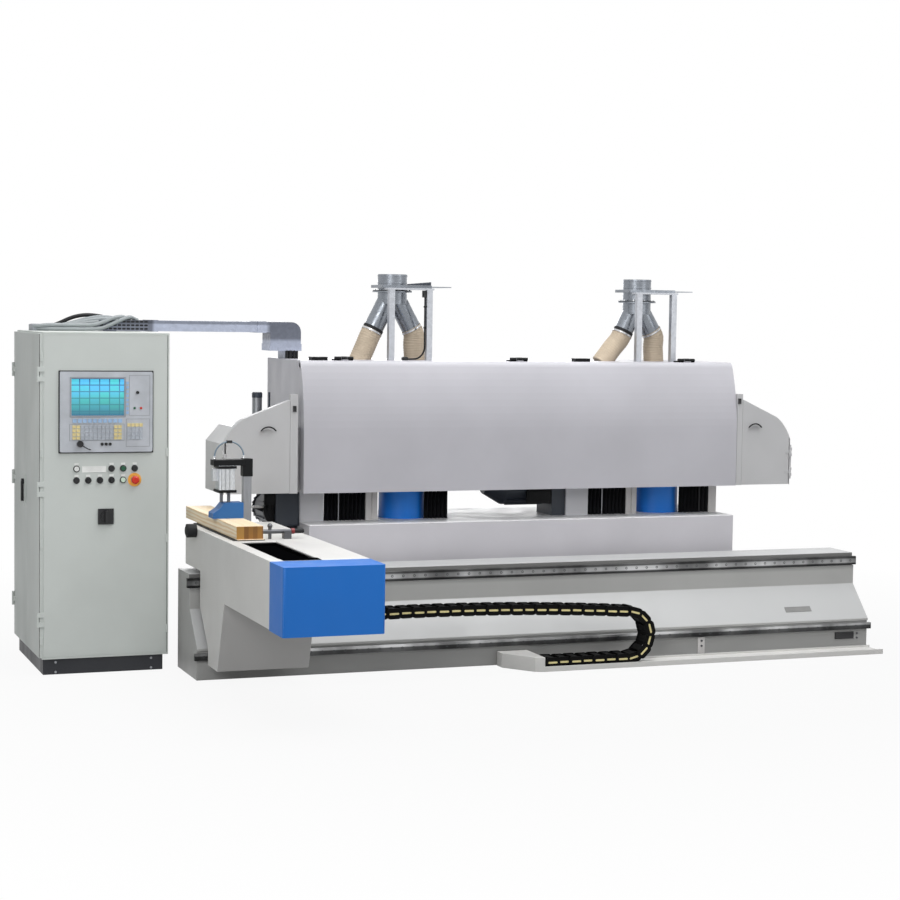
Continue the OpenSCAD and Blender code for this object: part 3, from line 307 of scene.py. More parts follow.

# %% Paints
# the bed gets painted light on faces that look up and a painted shadow under its upper rail
bed_paint = paint("bed_paint", screen_colour(168, 168, 166), lit_tops=screen_colour(180, 181, 181),
                  rail_shadow=(0.508, 0.55))
# painted shade: the carriage's faces that look down, under its knee, are painted darker
carriage_paint = paint("carriage_paint", screen_colour(216, 215, 212), below=screen_colour(184, 183, 181))
# painted light: the base's top is painted near white
base_paint = paint("base_paint", screen_colour(201, 199, 204), lit_tops=screen_colour(248, 248, 249))
hood_paint = paint("hood_paint", screen_colour(184, 183, 189), 0.36)
guard_paint = paint("guard_paint", screen_colour(188, 188, 189), 0.38)
cabinet_paint = paint("cabinet_paint", screen_colour(199, 204, 200), 0.5, 0.35)
blue_paint = paint("blue_paint", screen_colour(2, 105, 193), 0.46, 0.7)
shoe_paint = paint("shoe_paint", screen_colour(36, 98, 160), 0.46, 0.7)
# painted light: the quills are the end cover's blue, painted brighter because they stand in shade
quill_blue_lit = paint("quill_blue_lit", screen_colour(24, 136, 244), 0.4, 0.6)
column_paint = paint("column_paint", screen_colour(220, 220, 224), 0.45)
guide_paint = paint("guide_paint", screen_colour(226, 223, 221), 0.4)
dark_paint = paint("dark_paint", screen_colour(38, 45, 56), 0.45, 0.6)
black_paint = paint("black_paint", screen_colour(10, 11, 13), 0.55, 0.6, gloss=0.2)
plinth_paint = paint("plinth_paint", screen_colour(21, 24, 31), 0.5, 0.6)
print("paints ready")

# %% [markdown]
# ## Metals
# The rails are ground steel, brushed along their length. The ducts are galvanised sheet, whose
# zinc freezes in flat crystals that each shine a little differently. Cast and turned parts keep a
# fine grain. A stretched noise gives brushing, and Voronoi cells give the crystals. Ramps of grey
# over height paint shade and highlights on the grooves of a rail and the folds of the trunking,
# long patches of painted reflection run down the rails, the open tray of the trunking is painted
# darker as painted shade and its elbow gets a painted highlight, and the rods of the clamp's shoe
# are bare steel above the painted block.

# %% Steel


def brushed(name, colour, rough, stretch=(0.6, 60, 60)):
    mat, shader = new_finish(name, rough, 1.0)
    streaks = noise(mat, 14.0, 5.0, stretch)
    tone = ramp(mat, streaks, "Fac", [(0.3, shade(colour, 0.8)), (0.7, shade(colour, 1.15))])
    wire(mat, tone, "Color", shader, "Base Color")
    stains = noise(mat, 5.0, 6.0)
    wire(mat, spread(mat, stains, "Fac", rough - 0.08, rough + 0.14), "Result", shader, "Roughness")
    bumps(mat, shader, streaks, "Fac", 0.05, 0.0004)
    return mat


def rail(name, colour, low, high, stops):
    """Brushed steel with painted shade and highlights on a rail's grooves and long painted reflections."""
    mat = brushed(name, colour, 0.34)
    groove_shading = greys(mat, along_axis(mat, "Z", low / 1000, high / 1000), stops)
    # painted reflection: long light and dark patches down the rail
    painted_reflections = ramp(mat, noise(mat, 2.2, 4.0, (1, 0.01, 0.01)), "Fac",
                   [(0.42, shade(WHITE, 0.26)), (0.6, WHITE)])
    steel = multiply(mat, multiply(mat, colour_source(mat), groove_shading), painted_reflections)
    wire(mat, steel, MIX_RESULT, shader_of(mat), "Base Color")
    return mat


print("steel recipes ready")

# %% Zinc


def zinc(name, colour, rough):
    mat, shader = new_finish(name, rough, 0.8)
    place = put(mat, "ShaderNodeTexCoord")
    cells = put(mat, "ShaderNodeTexVoronoi", {"Scale": 55.0, "Randomness": 1.0})
    wire(mat, place, "Object", cells, "Vector")
    grey = put(mat, "ShaderNodeSeparateColor")
    wire(mat, cells, "Color", grey, "Color")
    tone = ramp(mat, grey, "Red", [(0.0, shade(colour, 0.86)), (1.0, shade(colour, 1.08))])
    clouds = noise(mat, 4.0, 5.0)
    soft = mix(mat, clouds, "Fac", tone, shade(colour, 0.9))
    wire(mat, soft, MIX_RESULT, shader, "Base Color")
    wire(mat, spread(mat, grey, "Green", rough - 0.05, rough + 0.1), "Result", shader, "Roughness")
    bumps(mat, shader, clouds, "Fac", 0.08, 0.002)
    return mat


print("zinc recipe ready")

# %% Trunking and rods
TRUNK_FOOT, ELBOW_FOOT, TRUNK_LID = 2.095, 1.95, 2.18
# painted light: grey bands over the height of the trunking's side and elbow stand in for light and shade
TRUNK_SIDE_LIGHT = [(0.0, 0.75), (0.1, 1.0), (0.62, 1.0), (0.74, 0.5), (1.0, 0.6)]
ELBOW_LIGHT = [(0.0, 0.5), (0.16, 1.0), (0.4, 0.85), (0.5, 0.36), (1.0, 0.32)]


def trunk(name, colour, rough, shade_until, elbow):
    """Galvanised trunking; painted shade on the open tray, painted light and shade over side and elbow."""
    mat = zinc(name, colour, rough)
    side = greys(mat, along_axis(mat, "Z", TRUNK_FOOT, TRUNK_LID), TRUNK_SIDE_LIGHT)
    bend = greys(mat, along_axis(mat, "Z", ELBOW_FOOT, TRUNK_LID), ELBOW_LIGHT)
    bands = mix(mat, along_axis(mat, "X", elbow, elbow + 0.03), "Result", side, bend)
    # painted shade on the open tray, left of the given place
    tray_shade = greys(mat, along_axis(mat, "X", shade_until, shade_until + 0.02), [(0.0, 0.4), (1.0, 1.0)])
    sheet = multiply(mat, multiply(mat, colour_source(mat), bands), tray_shade)
    wire(mat, sheet, MIX_RESULT, shader_of(mat), "Base Color")
    return mat


def rods_above(mat, height, colour):
    """Everything over a height is bare steel, as the rods on the shoe are."""
    over = along_axis(mat, "Z", height, height + 0.001)
    bare = mix(mat, noise(mat, 30.0, 3.0, (1, 1, 0.1)), "Fac", shade(colour, 0.8), colour)
    rods = mix(mat, over, "Result", colour_source(mat), bare)
    wire(mat, rods, MIX_RESULT, shader_of(mat), "Base Color")


print("trunking and rod recipes ready")

# %% Metals
# the stops paint shade and highlights over each rail's height, where its grooves are
upper_steel = rail("upper_steel", screen_colour(206, 207, 208), 543, 601,
                   [(0.0, 0.09), (0.14, 0.1), (0.3, 0.9), (0.66, 0.75), (0.82, 0.13), (1.0, 0.24)])
lower_steel = rail("lower_steel", screen_colour(206, 207, 208), 125, 167,
                   [(0.0, 0.15), (0.58, 0.18), (0.72, 0.95), (1.0, 1.0)])
rail_steel = brushed("rail_steel", screen_colour(96, 97, 98), 0.38)
bright_steel = brushed("bright_steel", screen_colour(205, 206, 208), 0.22, (40, 40, 0.8))
tool_steel = brushed("tool_steel", screen_colour(150, 152, 158), 0.3, (30, 30, 30))
stop_steel = brushed("stop_steel", screen_colour(96, 97, 100), 0.34, (0.8, 40, 40))
post_steel = brushed("post_steel", screen_colour(146, 148, 152), 0.4, (40, 40, 0.6))
duct_zinc = zinc("duct_zinc", screen_colour(138, 143, 150), 0.25)
post_zinc = zinc("post_zinc", screen_colour(190, 193, 199), 0.42)
# the open tray is painted in shade left of X -34, and the elbow gets painted light from X 738
trunk_zinc = trunk("trunk_zinc", screen_colour(178, 185, 203), 0.38, at(-34, 0, 0).x, at(738, 0, 0).x)
gate_zinc = zinc("gate_zinc", screen_colour(150, 155, 162), 0.38)
clamp_cast = brushed("clamp_cast", screen_colour(200, 203, 206), 0.42, (30, 30, 4))
rods_above(shoe_paint, 1.0788, screen_colour(112, 115, 120))
print("metals ready")

# %% [markdown]
# ## Plastics, rubber and wood
# Moulded plastic has a fine even grain and a soft sheen, and rubber is duller with a bloom of
# dust. The backing timber is glued up from pine staves: long grain, growth rings at the end, and
# a tone of its own for each stave. A wave bent by noise draws the rings, and the lowest few
# millimetres, the strip that the timber lies on, are painted near black as painted shadow.

# %% Plastic and rubber


def moulded(name, colour, rough, grain=900.0, gloss=0.5):
    mat, shader = new_finish(name, rough, gloss=gloss)
    dust = noise(mat, 9.0, 6.0)
    tone = ramp(mat, dust, "Fac", [(0.35, shade(colour, 0.9)), (0.75, shade(colour, 1.12))])
    wire(mat, tone, "Color", shader, "Base Color")
    wire(mat, spread(mat, dust, "Fac", rough - 0.06, rough + 0.1), "Result", shader, "Roughness")
    bumps(mat, shader, noise(mat, grain, 1.0), "Fac", 0.12, 0.0003)
    return mat


print("plastic recipe ready")

# %% Wood
STAVE, STRIP_TOP = 0.027, 0.9075


def pine(name):
    mat, shader = new_finish(name, 0.55)
    place = put(mat, "ShaderNodeTexCoord")
    long = put(mat, "ShaderNodeMapping", {"Scale": (1, 0.06, 1), "Location": (0.31, 0, 0.2)})
    wire(mat, place, "Object", long, "Vector")
    rings = put(mat, "ShaderNodeTexWave",
                {"Scale": 28.0, "Distortion": 5.0, "Detail": 3.0, "Detail Scale": 1.4},
                wave_type="RINGS", rings_direction="Y")
    wire(mat, long, "Vector", rings, "Vector")
    grain = ramp(mat, rings, "Fac", [(0.0, screen_colour(234, 208, 168)),
                                     (0.55, screen_colour(250, 234, 208)),
                                     (1.0, screen_colour(253, 243, 226))])
    parts = put(mat, "ShaderNodeSeparateXYZ")
    wire(mat, place, "Object", parts, "Vector")
    stave = put(mat, "ShaderNodeMath", {1: STAVE}, operation="SNAP")
    wire(mat, parts, "X", stave, 0)
    own = put(mat, "ShaderNodeTexWhiteNoise", noise_dimensions="1D")
    wire(mat, stave, "Value", own, "W")
    tone = ramp(mat, own, "Value", [(0.0, screen_colour(240, 222, 194)), (1.0, screen_colour(255, 253, 246))])
    staves = multiply(mat, grain, tone, 0.6)
    looks = put(mat, "ShaderNodeSeparateXYZ")
    wire(mat, put(mat, "ShaderNodeNewGeometry"), "Normal", looks, "Vector")
    at_end = put(mat, "ShaderNodeMath", operation="ABSOLUTE")
    wire(mat, looks, "Y", at_end, 0)
    end_tone = ramp(mat, own, "Value", [(0.0, screen_colour(104, 66, 30)),
                                        (0.5, screen_colour(158, 114, 52)),
                                        (1.0, screen_colour(182, 142, 76))])
    ended = mix(mat, at_end, "Value", staves, end_tone)
    # painted shadow: below the strip's top the timber is painted near black
    under = put(mat, "ShaderNodeMath", {1: STRIP_TOP}, operation="LESS_THAN")
    wire(mat, parts, "Z", under, 0)
    laid = mix(mat, under, "Value", ended, screen_colour(34, 33, 32))
    wire(mat, laid, MIX_RESULT, shader, "Base Color")
    bumps(mat, shader, rings, "Fac", 0.15, 0.0006)
    return mat


timber_pine = pine("timber_pine")
print("wood ready")

# %% Plastics and rubbers
black_rubber = moulded("black_rubber", screen_colour(17, 18, 21), 0.62, 500.0, 0.35)
screen_rubber = moulded("screen_rubber", screen_colour(17, 18, 22), 0.5, 700.0, 0.35)
chain_plastic = moulded("chain_plastic", screen_colour(10, 10, 10), 0.5, 900.0, 0.07)
# slot_black is the painted shade of the table's slot tray, and also the rubber strip at the slot's end
slot_black = moulded("slot_black", screen_colour(6, 6, 7), 0.8, 900.0, 0.0)
black_plastic = moulded("black_plastic", screen_colour(11, 12, 15), 0.42)
grey_plastic = moulded("grey_plastic", screen_colour(186, 190, 196), 0.45)
rim_grey = moulded("rim_grey", screen_colour(150, 154, 160), 0.5)
key_grey = moulded("key_grey", screen_colour(176, 182, 190), 0.5)
screw_dark = moulded("screw_dark", screen_colour(44, 45, 48), 0.45)
key_cream = moulded("key_cream", screen_colour(222, 206, 150), 0.5)
key_blue = moulded("key_blue", screen_colour(160, 190, 222), 0.45)
white_plastic = moulded("white_plastic", screen_colour(232, 233, 230), 0.4)
green_plastic = moulded("green_plastic", screen_colour(22, 84, 56), 0.4)
pale_green_plastic = moulded("pale_green_plastic", screen_colour(206, 226, 206), 0.4)
plate_grey = moulded("plate_grey", screen_colour(126, 126, 125), 0.5)
dark_red = moulded("dark_red", screen_colour(124, 34, 36), 0.42)
red_plastic = moulded("red_plastic", screen_colour(206, 44, 20), 0.36)
amber_plastic = moulded("amber_plastic", screen_colour(244, 176, 76), 0.42)
chain_yellow = moulded("chain_yellow", screen_colour(222, 209, 150), 0.45)
hose_beige = moulded("hose_beige", screen_colour(192, 176, 154), 0.6, 300.0)
conduit_grey = moulded("conduit_grey", screen_colour(150, 156, 158), 0.5)
air_line = moulded("air_line", screen_colour(120, 138, 152), 0.35)
print("plastics and rubbers ready")

# %% [markdown]
# ## The lit screen
# The panel's display glows. A quiet page of tiles in blues and greens stands on it, drawn by a
# brick texture laid on the screen's own plane, with a brighter band at the top. Emission lets it
# shine by itself, and a smooth coat keeps the glass look.

# %% Screen recipe
SCREEN_FOOT, SCREEN_TOP = 1.593, 1.820


def lit_screen(name):
    mat, shader = new_finish(name, 0.12)
    place = put(mat, "ShaderNodeTexCoord")
    flat = put(mat, "ShaderNodeMapping", {"Rotation": (math.pi / 2, 0, 0), "Location": (0.31, 0.1, 0)})
    wire(mat, place, "Object", flat, "Vector")
    tiles = put(mat, "ShaderNodeTexBrick",
                {"Scale": 9.0, "Color1": screen_colour(70, 170, 226), "Color2": screen_colour(60, 190, 190),
                 "Mortar": screen_colour(18, 74, 128), "Mortar Size": 0.03, "Brick Width": 0.55,
                 "Row Height": 0.36}, offset=0.0, squash=1.0)
    wire(mat, flat, "Vector", tiles, "Vector")
    height = along_axis(mat, "Z", SCREEN_FOOT, SCREEN_TOP)
    glow = ramp(mat, height, "Result", [(0.0, screen_colour(30, 90, 120)),
                                        (0.45, screen_colour(60, 150, 130)),
                                        (0.9, screen_colour(110, 200, 240)),
                                        (0.93, screen_colour(20, 70, 130))])
    page = mix(mat, height, "Result", glow, tiles)
    wire(mat, page, MIX_RESULT, shader, "Base Color")
    wire(mat, page, MIX_RESULT, shader, "Emission Color")
    shader.inputs["Emission Strength"].default_value = 0.55
    shader.inputs["Coat Weight"].default_value = 0.4
    return mat


screen_glow = lit_screen("screen_glow")
print("screen ready")

# %% [markdown]
# ## Switch gear
# The mounting plate in the cabinet is one solid: a bare plate with slotted wiring ducts low down
# and four drives above. Its finish tells them apart by height and by how far they stand out of
# the plate, so the plate needs no cutting up. A wave along the ducts draws their slots.

# %% Switch gear recipe


def gear_finish(name):
    mat, shader = new_finish(name, 0.5)
    plate = at(-131.5, 0, 0).x
    proud = along_axis(mat, "X", plate, plate - 0.001)
    high = along_axis(mat, "Z", 1.19, 1.2)
    dust = noise(mat, 7.0, 5.0)
    bare = ramp(mat, dust, "Fac", [(0.35, screen_colour(196, 196, 188)), (0.7, screen_colour(214, 213, 204))])
    drive = ramp(mat, dust, "Fac", [(0.35, screen_colour(42, 45, 50)), (0.7, screen_colour(54, 57, 63))])
    place = put(mat, "ShaderNodeTexCoord")
    slots = put(mat, "ShaderNodeTexWave", {"Scale": 26.0}, wave_type="BANDS", bands_direction="Y")
    wire(mat, place, "Object", slots, "Vector")
    duct = ramp(mat, slots, "Fac", [(0.3, screen_colour(70, 73, 78)), (0.5, screen_colour(158, 162, 167))])
    gear = mix(mat, high, "Result", duct, drive)
    wire(mat, mix(mat, proud, "Result", bare, gear), MIX_RESULT, shader, "Base Color")
    wire(mat, spread(mat, dust, "Fac", 0.42, 0.6), "Result", shader, "Roughness")
    return mat


switch_gear = gear_finish("switch_gear")
print("switch gear ready")

# %% [markdown]
# ## Finishes on the solids
# Every solid of the machine gets its finish here, by name. The list reads like the painter's and
# fitter's own list: which parts are sprayed grey or blue, which are left as steel or zinc.

# %% Dress the solids
DRESSED = {
    bed_paint: ["bed"],
    carriage_paint: ["carriage_frame", "chain_trough"],
    base_paint: ["rear_base"],
    switch_gear: ["electrical_plate"],
    hood_paint: ["enclosure", "hood_front"],
    guard_paint: ["guard_shells", "left_guard_door", "right_guard_door"],
    cabinet_paint: ["cabinet_shell", "front_door", "rear_door"],
    blue_paint: ["end_cover"],
    shoe_paint: ["clamp_shoe"],
    quill_blue_lit: ["left_quill", "right_quill"],
    column_paint: ["station_columns"],
    dark_paint: ["unit_motors"],
    plinth_paint: ["cabinet_plinth"],
    black_paint: ["roof_fittings", "clamp_arm"],
    upper_steel: ["upper_rail"],
    lower_steel: ["lower_rail"],
    rail_steel: ["guide_blocks"],
    bright_steel: ["saw_blade"],
    stop_steel: ["stop_rod"],
    tool_steel: ["left_tools", "right_tools"],
    post_steel: ["clamp_column"],
    guide_paint: ["guide_posts"],
    duct_zinc: ["duct_wyes"],
    post_zinc: ["duct_posts"],
    trunk_zinc: ["cable_trunking"],
    gate_zinc: ["left_gate", "right_gate"],
    clamp_cast: ["clamp_cylinder"],
    timber_pine: ["backing_timber"],
    black_rubber: ["door_handle"],
    screen_rubber: ["chip_screens"],
    hose_beige: ["duct_hoses"],
    conduit_grey: ["conduits"],
    air_line: ["air_hose"],
    chain_plastic: ["chain_upper", "chain_lower", "chain_bend"],
    grey_plastic: ["hmi_frame"],
    screen_glow: ["hmi_screen"],
    black_plastic: ["control_bezels", "main_switch", "black_button", "dark_button", "square_button",
                    "selector_left", "selector_middle", "selector_right"],
    white_plastic: ["white_button"],
    green_plastic: ["green_button"],
    pale_green_plastic: ["start_button"],
    red_plastic: ["emergency_stop"],
}
for mat, names in DRESSED.items():
    for name in names:
        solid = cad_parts[name]
        if not solid.material_slots:
            solid.data.materials.append(mat)
        for slot in solid.material_slots:
            slot.material = mat
left_bare = set(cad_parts) - {name for names in DRESSED.values() for name in names}
print("solids without a finish", sorted(left_bare))

# %% [markdown]
# ## Floor and light
# The machine stands on a plain white studio floor. The floor is near white and keeps the soft
# shadow under the machine, and the far wall is the world itself, white for what the camera, the
# metal and the glass see. Four large soft lamps stand at the left front, at the right front,
# overhead and behind.

# %% Floor
bpy.ops.object.select_all(action="DESELECT")
bpy.ops.mesh.primitive_plane_add(size=80, location=(0, 0, -0.001))
floor = bpy.context.object
floor.name = "studio_floor"


def sees_white(mat):
    """1 for what the camera, a reflection or a look through glass sees, else 0."""
    path = put(mat, "ShaderNodeLightPath")
    seen = put(mat, "ShaderNodeMath", operation="MAXIMUM")
    wire(mat, path, "Is Camera Ray", seen, 0)
    wire(mat, path, "Is Glossy Ray", seen, 1)
    seen_all = put(mat, "ShaderNodeMath", operation="MAXIMUM")
    wire(mat, seen, "Value", seen_all, 0)
    wire(mat, path, "Is Transmission Ray", seen_all, 1)
    return seen_all


floor_white, floor_shader = new_finish("floor_white", 0.9)
floor_shader.inputs["Base Color"].default_value = (0.36, 0.36, 0.36, 1)
white_light = put(floor_white, "ShaderNodeEmission", {"Color": WHITE, "Strength": 1.0})
from_middle = put(floor_white, "ShaderNodeVectorMath", operation="LENGTH")
wire(floor_white, put(floor_white, "ShaderNodeTexCoord"), "Object", from_middle, 0)
whiter = put(floor_white, "ShaderNodeMapRange", {"From Min": 2.5, "From Max": 6.0, "To Min": 0.92})
wire(floor_white, from_middle, "Value", whiter, "Value")
part_white = put(floor_white, "ShaderNodeMath", operation="MULTIPLY")
wire(floor_white, sees_white(floor_white), "Value", part_white, 0)
wire(floor_white, whiter, "Result", part_white, 1)
blend_floor = put(floor_white, "ShaderNodeMixShader")
wire(floor_white, part_white, "Value", blend_floor, 0)
wire(floor_white, floor_shader, "BSDF", blend_floor, 1)
wire(floor_white, white_light, "Emission", blend_floor, 2)
wire(floor_white, blend_floor, "Shader", floor_white.node_tree.nodes["Material Output"], "Surface")
floor.data.materials.append(floor_white)
print("floor ready")

# %% World
world = bpy.data.worlds.new("studio_world")
world.use_nodes = True
scene.world = world
soft_sky = world.node_tree.nodes["Background"]
soft_sky.inputs["Color"].default_value = (0.93, 0.96, 1.0, 1)
soft_sky.inputs["Strength"].default_value = 0.24
far_wall = put(world, "ShaderNodeBackground", {"Color": WHITE, "Strength": 1.0})
blend_sky = put(world, "ShaderNodeMixShader")
wire(world, sees_white(world), "Value", blend_sky, 0)
wire(world, soft_sky, "Background", blend_sky, 1)
wire(world, far_wall, "Background", blend_sky, 2)
wire(world, blend_sky, "Shader", world.node_tree.nodes["World Output"], "Surface")
print("world ready")

# %% Lamps
LAMPS = {"key_lamp": ((-7.5, -8.0, 5.5), 5.0, 400), "fill_lamp": ((6.5, -7.5, 4.5), 5.0, 90),
         "top_lamp": ((0.5, -1.5, 8.5), 8.0, 800), "back_lamp": ((2.0, 8.5, 4.5), 5.0, 240)}
for name, (place, size, power) in LAMPS.items():
    lamp = bpy.data.objects.new(name, bpy.data.lights.new(name, "AREA"))
    lamp.data.size = size
    lamp.data.energy = power
    lamp.location = place
    lamp.rotation_euler = (Vector((0, 0, 0.9)) - lamp.location).to_track_quat("-Z", "Y").to_euler()
    scene.collection.objects.link(lamp)
print("lamps", list(LAMPS))

# %% [markdown]
# ## Cables and hoses
# Seven conduits arch from a gland block on the cabinet to the trunking, an air line loops over the
# clamp, a short strap holds the panel's plug cap, and a switch cable runs down a duct post. Each is
# a length of something flexible, so it is one smooth curve with a round bevel. Ribs come from the
# radius of its points.

# %% Route


def route(stops, count):
    """Evenly spaced places on a smooth line through the stops, and the line's length."""
    ends = [2 * stops[0] - stops[1], *stops, 2 * stops[-1] - stops[-2]]
    fine = []
    for a, b, c, d in zip(ends, ends[1:], ends[2:], ends[3:]):
        for i in range(24):
            t = i / 24
            fine.append(0.5 * (2 * b + (c - a) * t + (2 * a - 5 * b + 4 * c - d) * t ** 2
                               + (3 * b - a - 3 * c + d) * t ** 3))
    fine.append(stops[-1])
    walked = [0.0]
    for p, q in zip(fine, fine[1:]):
        walked.append(walked[-1] + (q - p).length)
    even, i = [], 0
    for k in range(count):
        want = walked[-1] * k / (count - 1)
        while i < len(fine) - 2 and walked[i + 1] < want:
            i += 1
        even.append(fine[i].lerp(fine[i + 1], (want - walked[i]) / (walked[i + 1] - walked[i])))
    return even, walked[-1]


print("route helper ready")

# %% Hose and lead


def hose(name, places, diameter, mat, ribs=0.0):
    """A round curve along the places; ribs is how far every second point draws in."""
    data = bpy.data.curves.new(name, "CURVE")
    data.dimensions = "3D"
    data.bevel_depth = diameter / 2
    data.bevel_resolution = 4
    data.use_fill_caps = True
    line = data.splines.new("POLY")
    line.points.add(len(places) - 1)
    for k, (point, place) in enumerate(zip(line.points, places)):
        point.co = (*place, 1)
        point.radius = 1 - ribs * (k % 2)
    line.use_smooth = True
    data.materials.append(mat)
    made = bpy.data.objects.new(name, data)
    scene.collection.objects.link(made)
    return made


def lead(name, stops, count, width, mat, body, node=None, ribs=0.0):
    """A cord with both ends on the machine, from stops in millimetres; node is what it stands for."""
    places, length = route([at(*stop) for stop in stops], count)
    made = hose(name, places, width, mat, ribs)
    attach(made, body)
    if node:
        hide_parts(node)
    print(name, round(length, 3), "m")


print("hose helpers ready")

# %% Conduits
CONDUIT_D, CONDUIT_Z = 0.026, 2120.3
PALE_ARCH = ((-751, 0), (-690, 1), (-620, 8), (-540, 20), (-440, 38), (-360, 47), (-286, 46),
             (-220, 38), (-150, 24), (-90, 15), (-52, 13))
DARK_ARCH = ((-751, 0), (-690, 4), (-624, 22), (-549, 56), (-495, 74), (-430, 83), (-354, 78),
             (-288, 63), (-230, 46), (-160, 26), (-100, 15), (-52, 13))
LOW_FRONT_WAY = ((-775, 1175, 2114), (-740, 1152, 2114), (-690, 1137, 2114), (-560, 1136, 2114),
                 (-450, 1136, 2115), (-362, 1136, 2122), (-286, 1136, 2154), (-235, 1137, 2177),
                 (-200, 1144, 2190), (-172, 1162, 2193), (-145, 1182, 2184), (-120, 1192, 2174))
HIGH_FRONT_WAY = ((-795, 1175, 2128), (-765, 1150, 2131), (-700, 1137, 2138), (-600, 1136, 2139),
                  (-500, 1136, 2139), (-420, 1136, 2142), (-350, 1136, 2162), (-292, 1137, 2186),
                  (-255, 1145, 2194), (-225, 1162, 2195), (-195, 1182, 2187), (-170, 1194, 2176))
CONDUIT_YS = [1186 + 32 * k for k in range(5)]
ways = [[(x, y, CONDUIT_Z + lift * rise) for x, rise in PALE_ARCH]
        for y, lift in zip(CONDUIT_YS, (0.9, 1.25, 1.05, 1.5))]
ways += [[(x, CONDUIT_YS[4], CONDUIT_Z + rise) for x, rise in DARK_ARCH], LOW_FRONT_WAY, HIGH_FRONT_WAY]
for k, way in enumerate(ways):
    mat, slot, ribs = (black_rubber, "black_rubber", 0.04) if k == 4 else (conduit_grey, "grey_plastic", 0.1)
    lead(f"conduit_{k + 1}", way, 175, CONDUIT_D, mat, "machine", "conduits", ribs=ribs)

# %% Air line, switch cable and cap strap
LOOP_X, LOOP_Y, LOOP_Z, LOOP_R = 212.5, 70, 1357, 91.5
stops = [(LOOP_X - LOOP_R, LOOP_Y, 1346)]
stops += [(LOOP_X - LOOP_R * math.cos(a), LOOP_Y, LOOP_Z + LOOP_R * math.sin(a))
          for a in (math.pi * i / 12 for i in range(13))]
stops += [(LOOP_X + LOOP_R, LOOP_Y, 1348)]
lead("air_loop", stops, 40, 0.010, air_line, "carriage", node="air_hose")

CABLE_X, CABLE_Y, CABLE_Z, CABLE_R = 1766, 884, 2018, 80
stops = [(CABLE_X, CABLE_Y, z) for z in (2352, 2280, 2200, 2120, 2060, CABLE_Z)]
stops += [(CABLE_X - CABLE_R * (1 - math.cos(a)), CABLE_Y, CABLE_Z - CABLE_R * math.sin(a))
          for a in (math.pi / 12 * i for i in range(1, 6))]
stops += [(1672, CABLE_Y, 1938), (1640, CABLE_Y, 1937)]
lead("switch_cable", stops, 40, 0.012, black_rubber, "machine")

stops = [(-627, 383, 1416), (-618, 378, 1407), (-604, 376, 1398), (-588, 380, 1390), (-577, 390, 1386),
         (-573, 399, 1385)]
lead("cap_strap", stops, 24, 0.006, black_rubber, "machine")

# %% [markdown]
# ## Rounded sheet edges
# Folded and cast parts have no knife edges, and a small round catches the light. The solids keep
# their meshes, so the round is a stack of live modifiers: Weld joins the loose triangles, Decimate
# clears the lines inside flat faces, and Bevel rounds what is left.

# %% Round the solids
ROUNDED = {"end_cover": 12, "carriage_frame": 5, "rear_base": 5, "bed": 4, "chain_trough": 1.5,
           "backing_timber": 2, "clamp_arm": 4, "clamp_shoe": 3, "cabinet_plinth": 3, "clamp_cylinder": 3}
for name, width in ROUNDED.items():
    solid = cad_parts[name]
    weld = solid.modifiers.new("weld", "WELD")
    weld.merge_threshold = 0.00002
    flats = solid.modifiers.new("flats", "DECIMATE")
    flats.decimate_type = "DISSOLVE"
    flats.angle_limit = 0.02
    edge_round = solid.modifiers.new("edge_round", "BEVEL")
    edge_round.width = width / 1000
    edge_round.segments = 3
    edge_round.limit_method = "ANGLE"
    edge_round.angle_limit = 0.6
    edge_round.harden_normals = True
print("rounded", len(ROUNDED), "solids")

# %% [markdown]
# ## Modelling by hand
# Every new piece starts as a primitive of its own size and place. Faces are then picked by where
# they look and pulled, inset or bevelled in edit mode, and modifiers finish the work. A few
# helpers stand for the clicks that are made again and again.

# %% Starting shapes


def only(obj):
    bpy.ops.object.select_all(action="DESELECT")
    obj.select_set(True)
    bpy.context.view_layer.objects.active = obj


def block(name, low, high):
    """A box between two places in millimetres."""
    low, high = at(*low), at(*high)
    bpy.ops.object.select_all(action="DESELECT")
    bpy.ops.mesh.primitive_cube_add(size=1, location=(low + high) / 2)
    made = bpy.context.object
    made.name = name
    made.scale = high - low
    bpy.ops.object.transform_apply(location=True, rotation=True, scale=True)
    return made


def rod(name, start, end, diameter, sides=24, caps="NGON"):
    """A round bar between two places in millimetres."""
    start, end = at(*start), at(*end)
    bpy.ops.object.select_all(action="DESELECT")
    bpy.ops.mesh.primitive_cylinder_add(radius=diameter / 2000, depth=(end - start).length, vertices=sides,
                                        end_fill_type=caps, location=(start + end) / 2,
                                        rotation=(end - start).to_track_quat("Z", "Y").to_euler())
    made = bpy.context.object
    made.name = name
    bpy.ops.object.transform_apply(location=True, rotation=True, scale=True)
    return made


print("box and bar ready")

# %% Picking


def pick(obj, test):
    """Edit mode, with the faces selected whose middle and normal pass the test."""
    only(obj)
    bpy.ops.object.mode_set(mode="EDIT")
    bpy.ops.mesh.select_mode(type="FACE")
    bpy.ops.mesh.select_all(action="DESELECT")
    bpy.ops.object.mode_set(mode="OBJECT")
    for face in obj.data.polygons:
        face.select = test(face.center, face.normal)
    bpy.ops.object.mode_set(mode="EDIT")


def pick_edges(obj, test):
    """Edit mode, with the edges selected whose two ends pass the test."""
    only(obj)
    bpy.ops.object.mode_set(mode="EDIT")
    bpy.ops.mesh.select_mode(type="EDGE")
    bpy.ops.mesh.select_all(action="DESELECT")
    bpy.ops.object.mode_set(mode="OBJECT")
    spots = obj.data.vertices
    for edge in obj.data.edges:
        edge.select = test(spots[edge.vertices[0]].co, spots[edge.vertices[1]].co)
    bpy.ops.object.mode_set(mode="EDIT")


def done():
    bpy.ops.object.mode_set(mode="OBJECT")


print("picking ready")

# %% Shaping


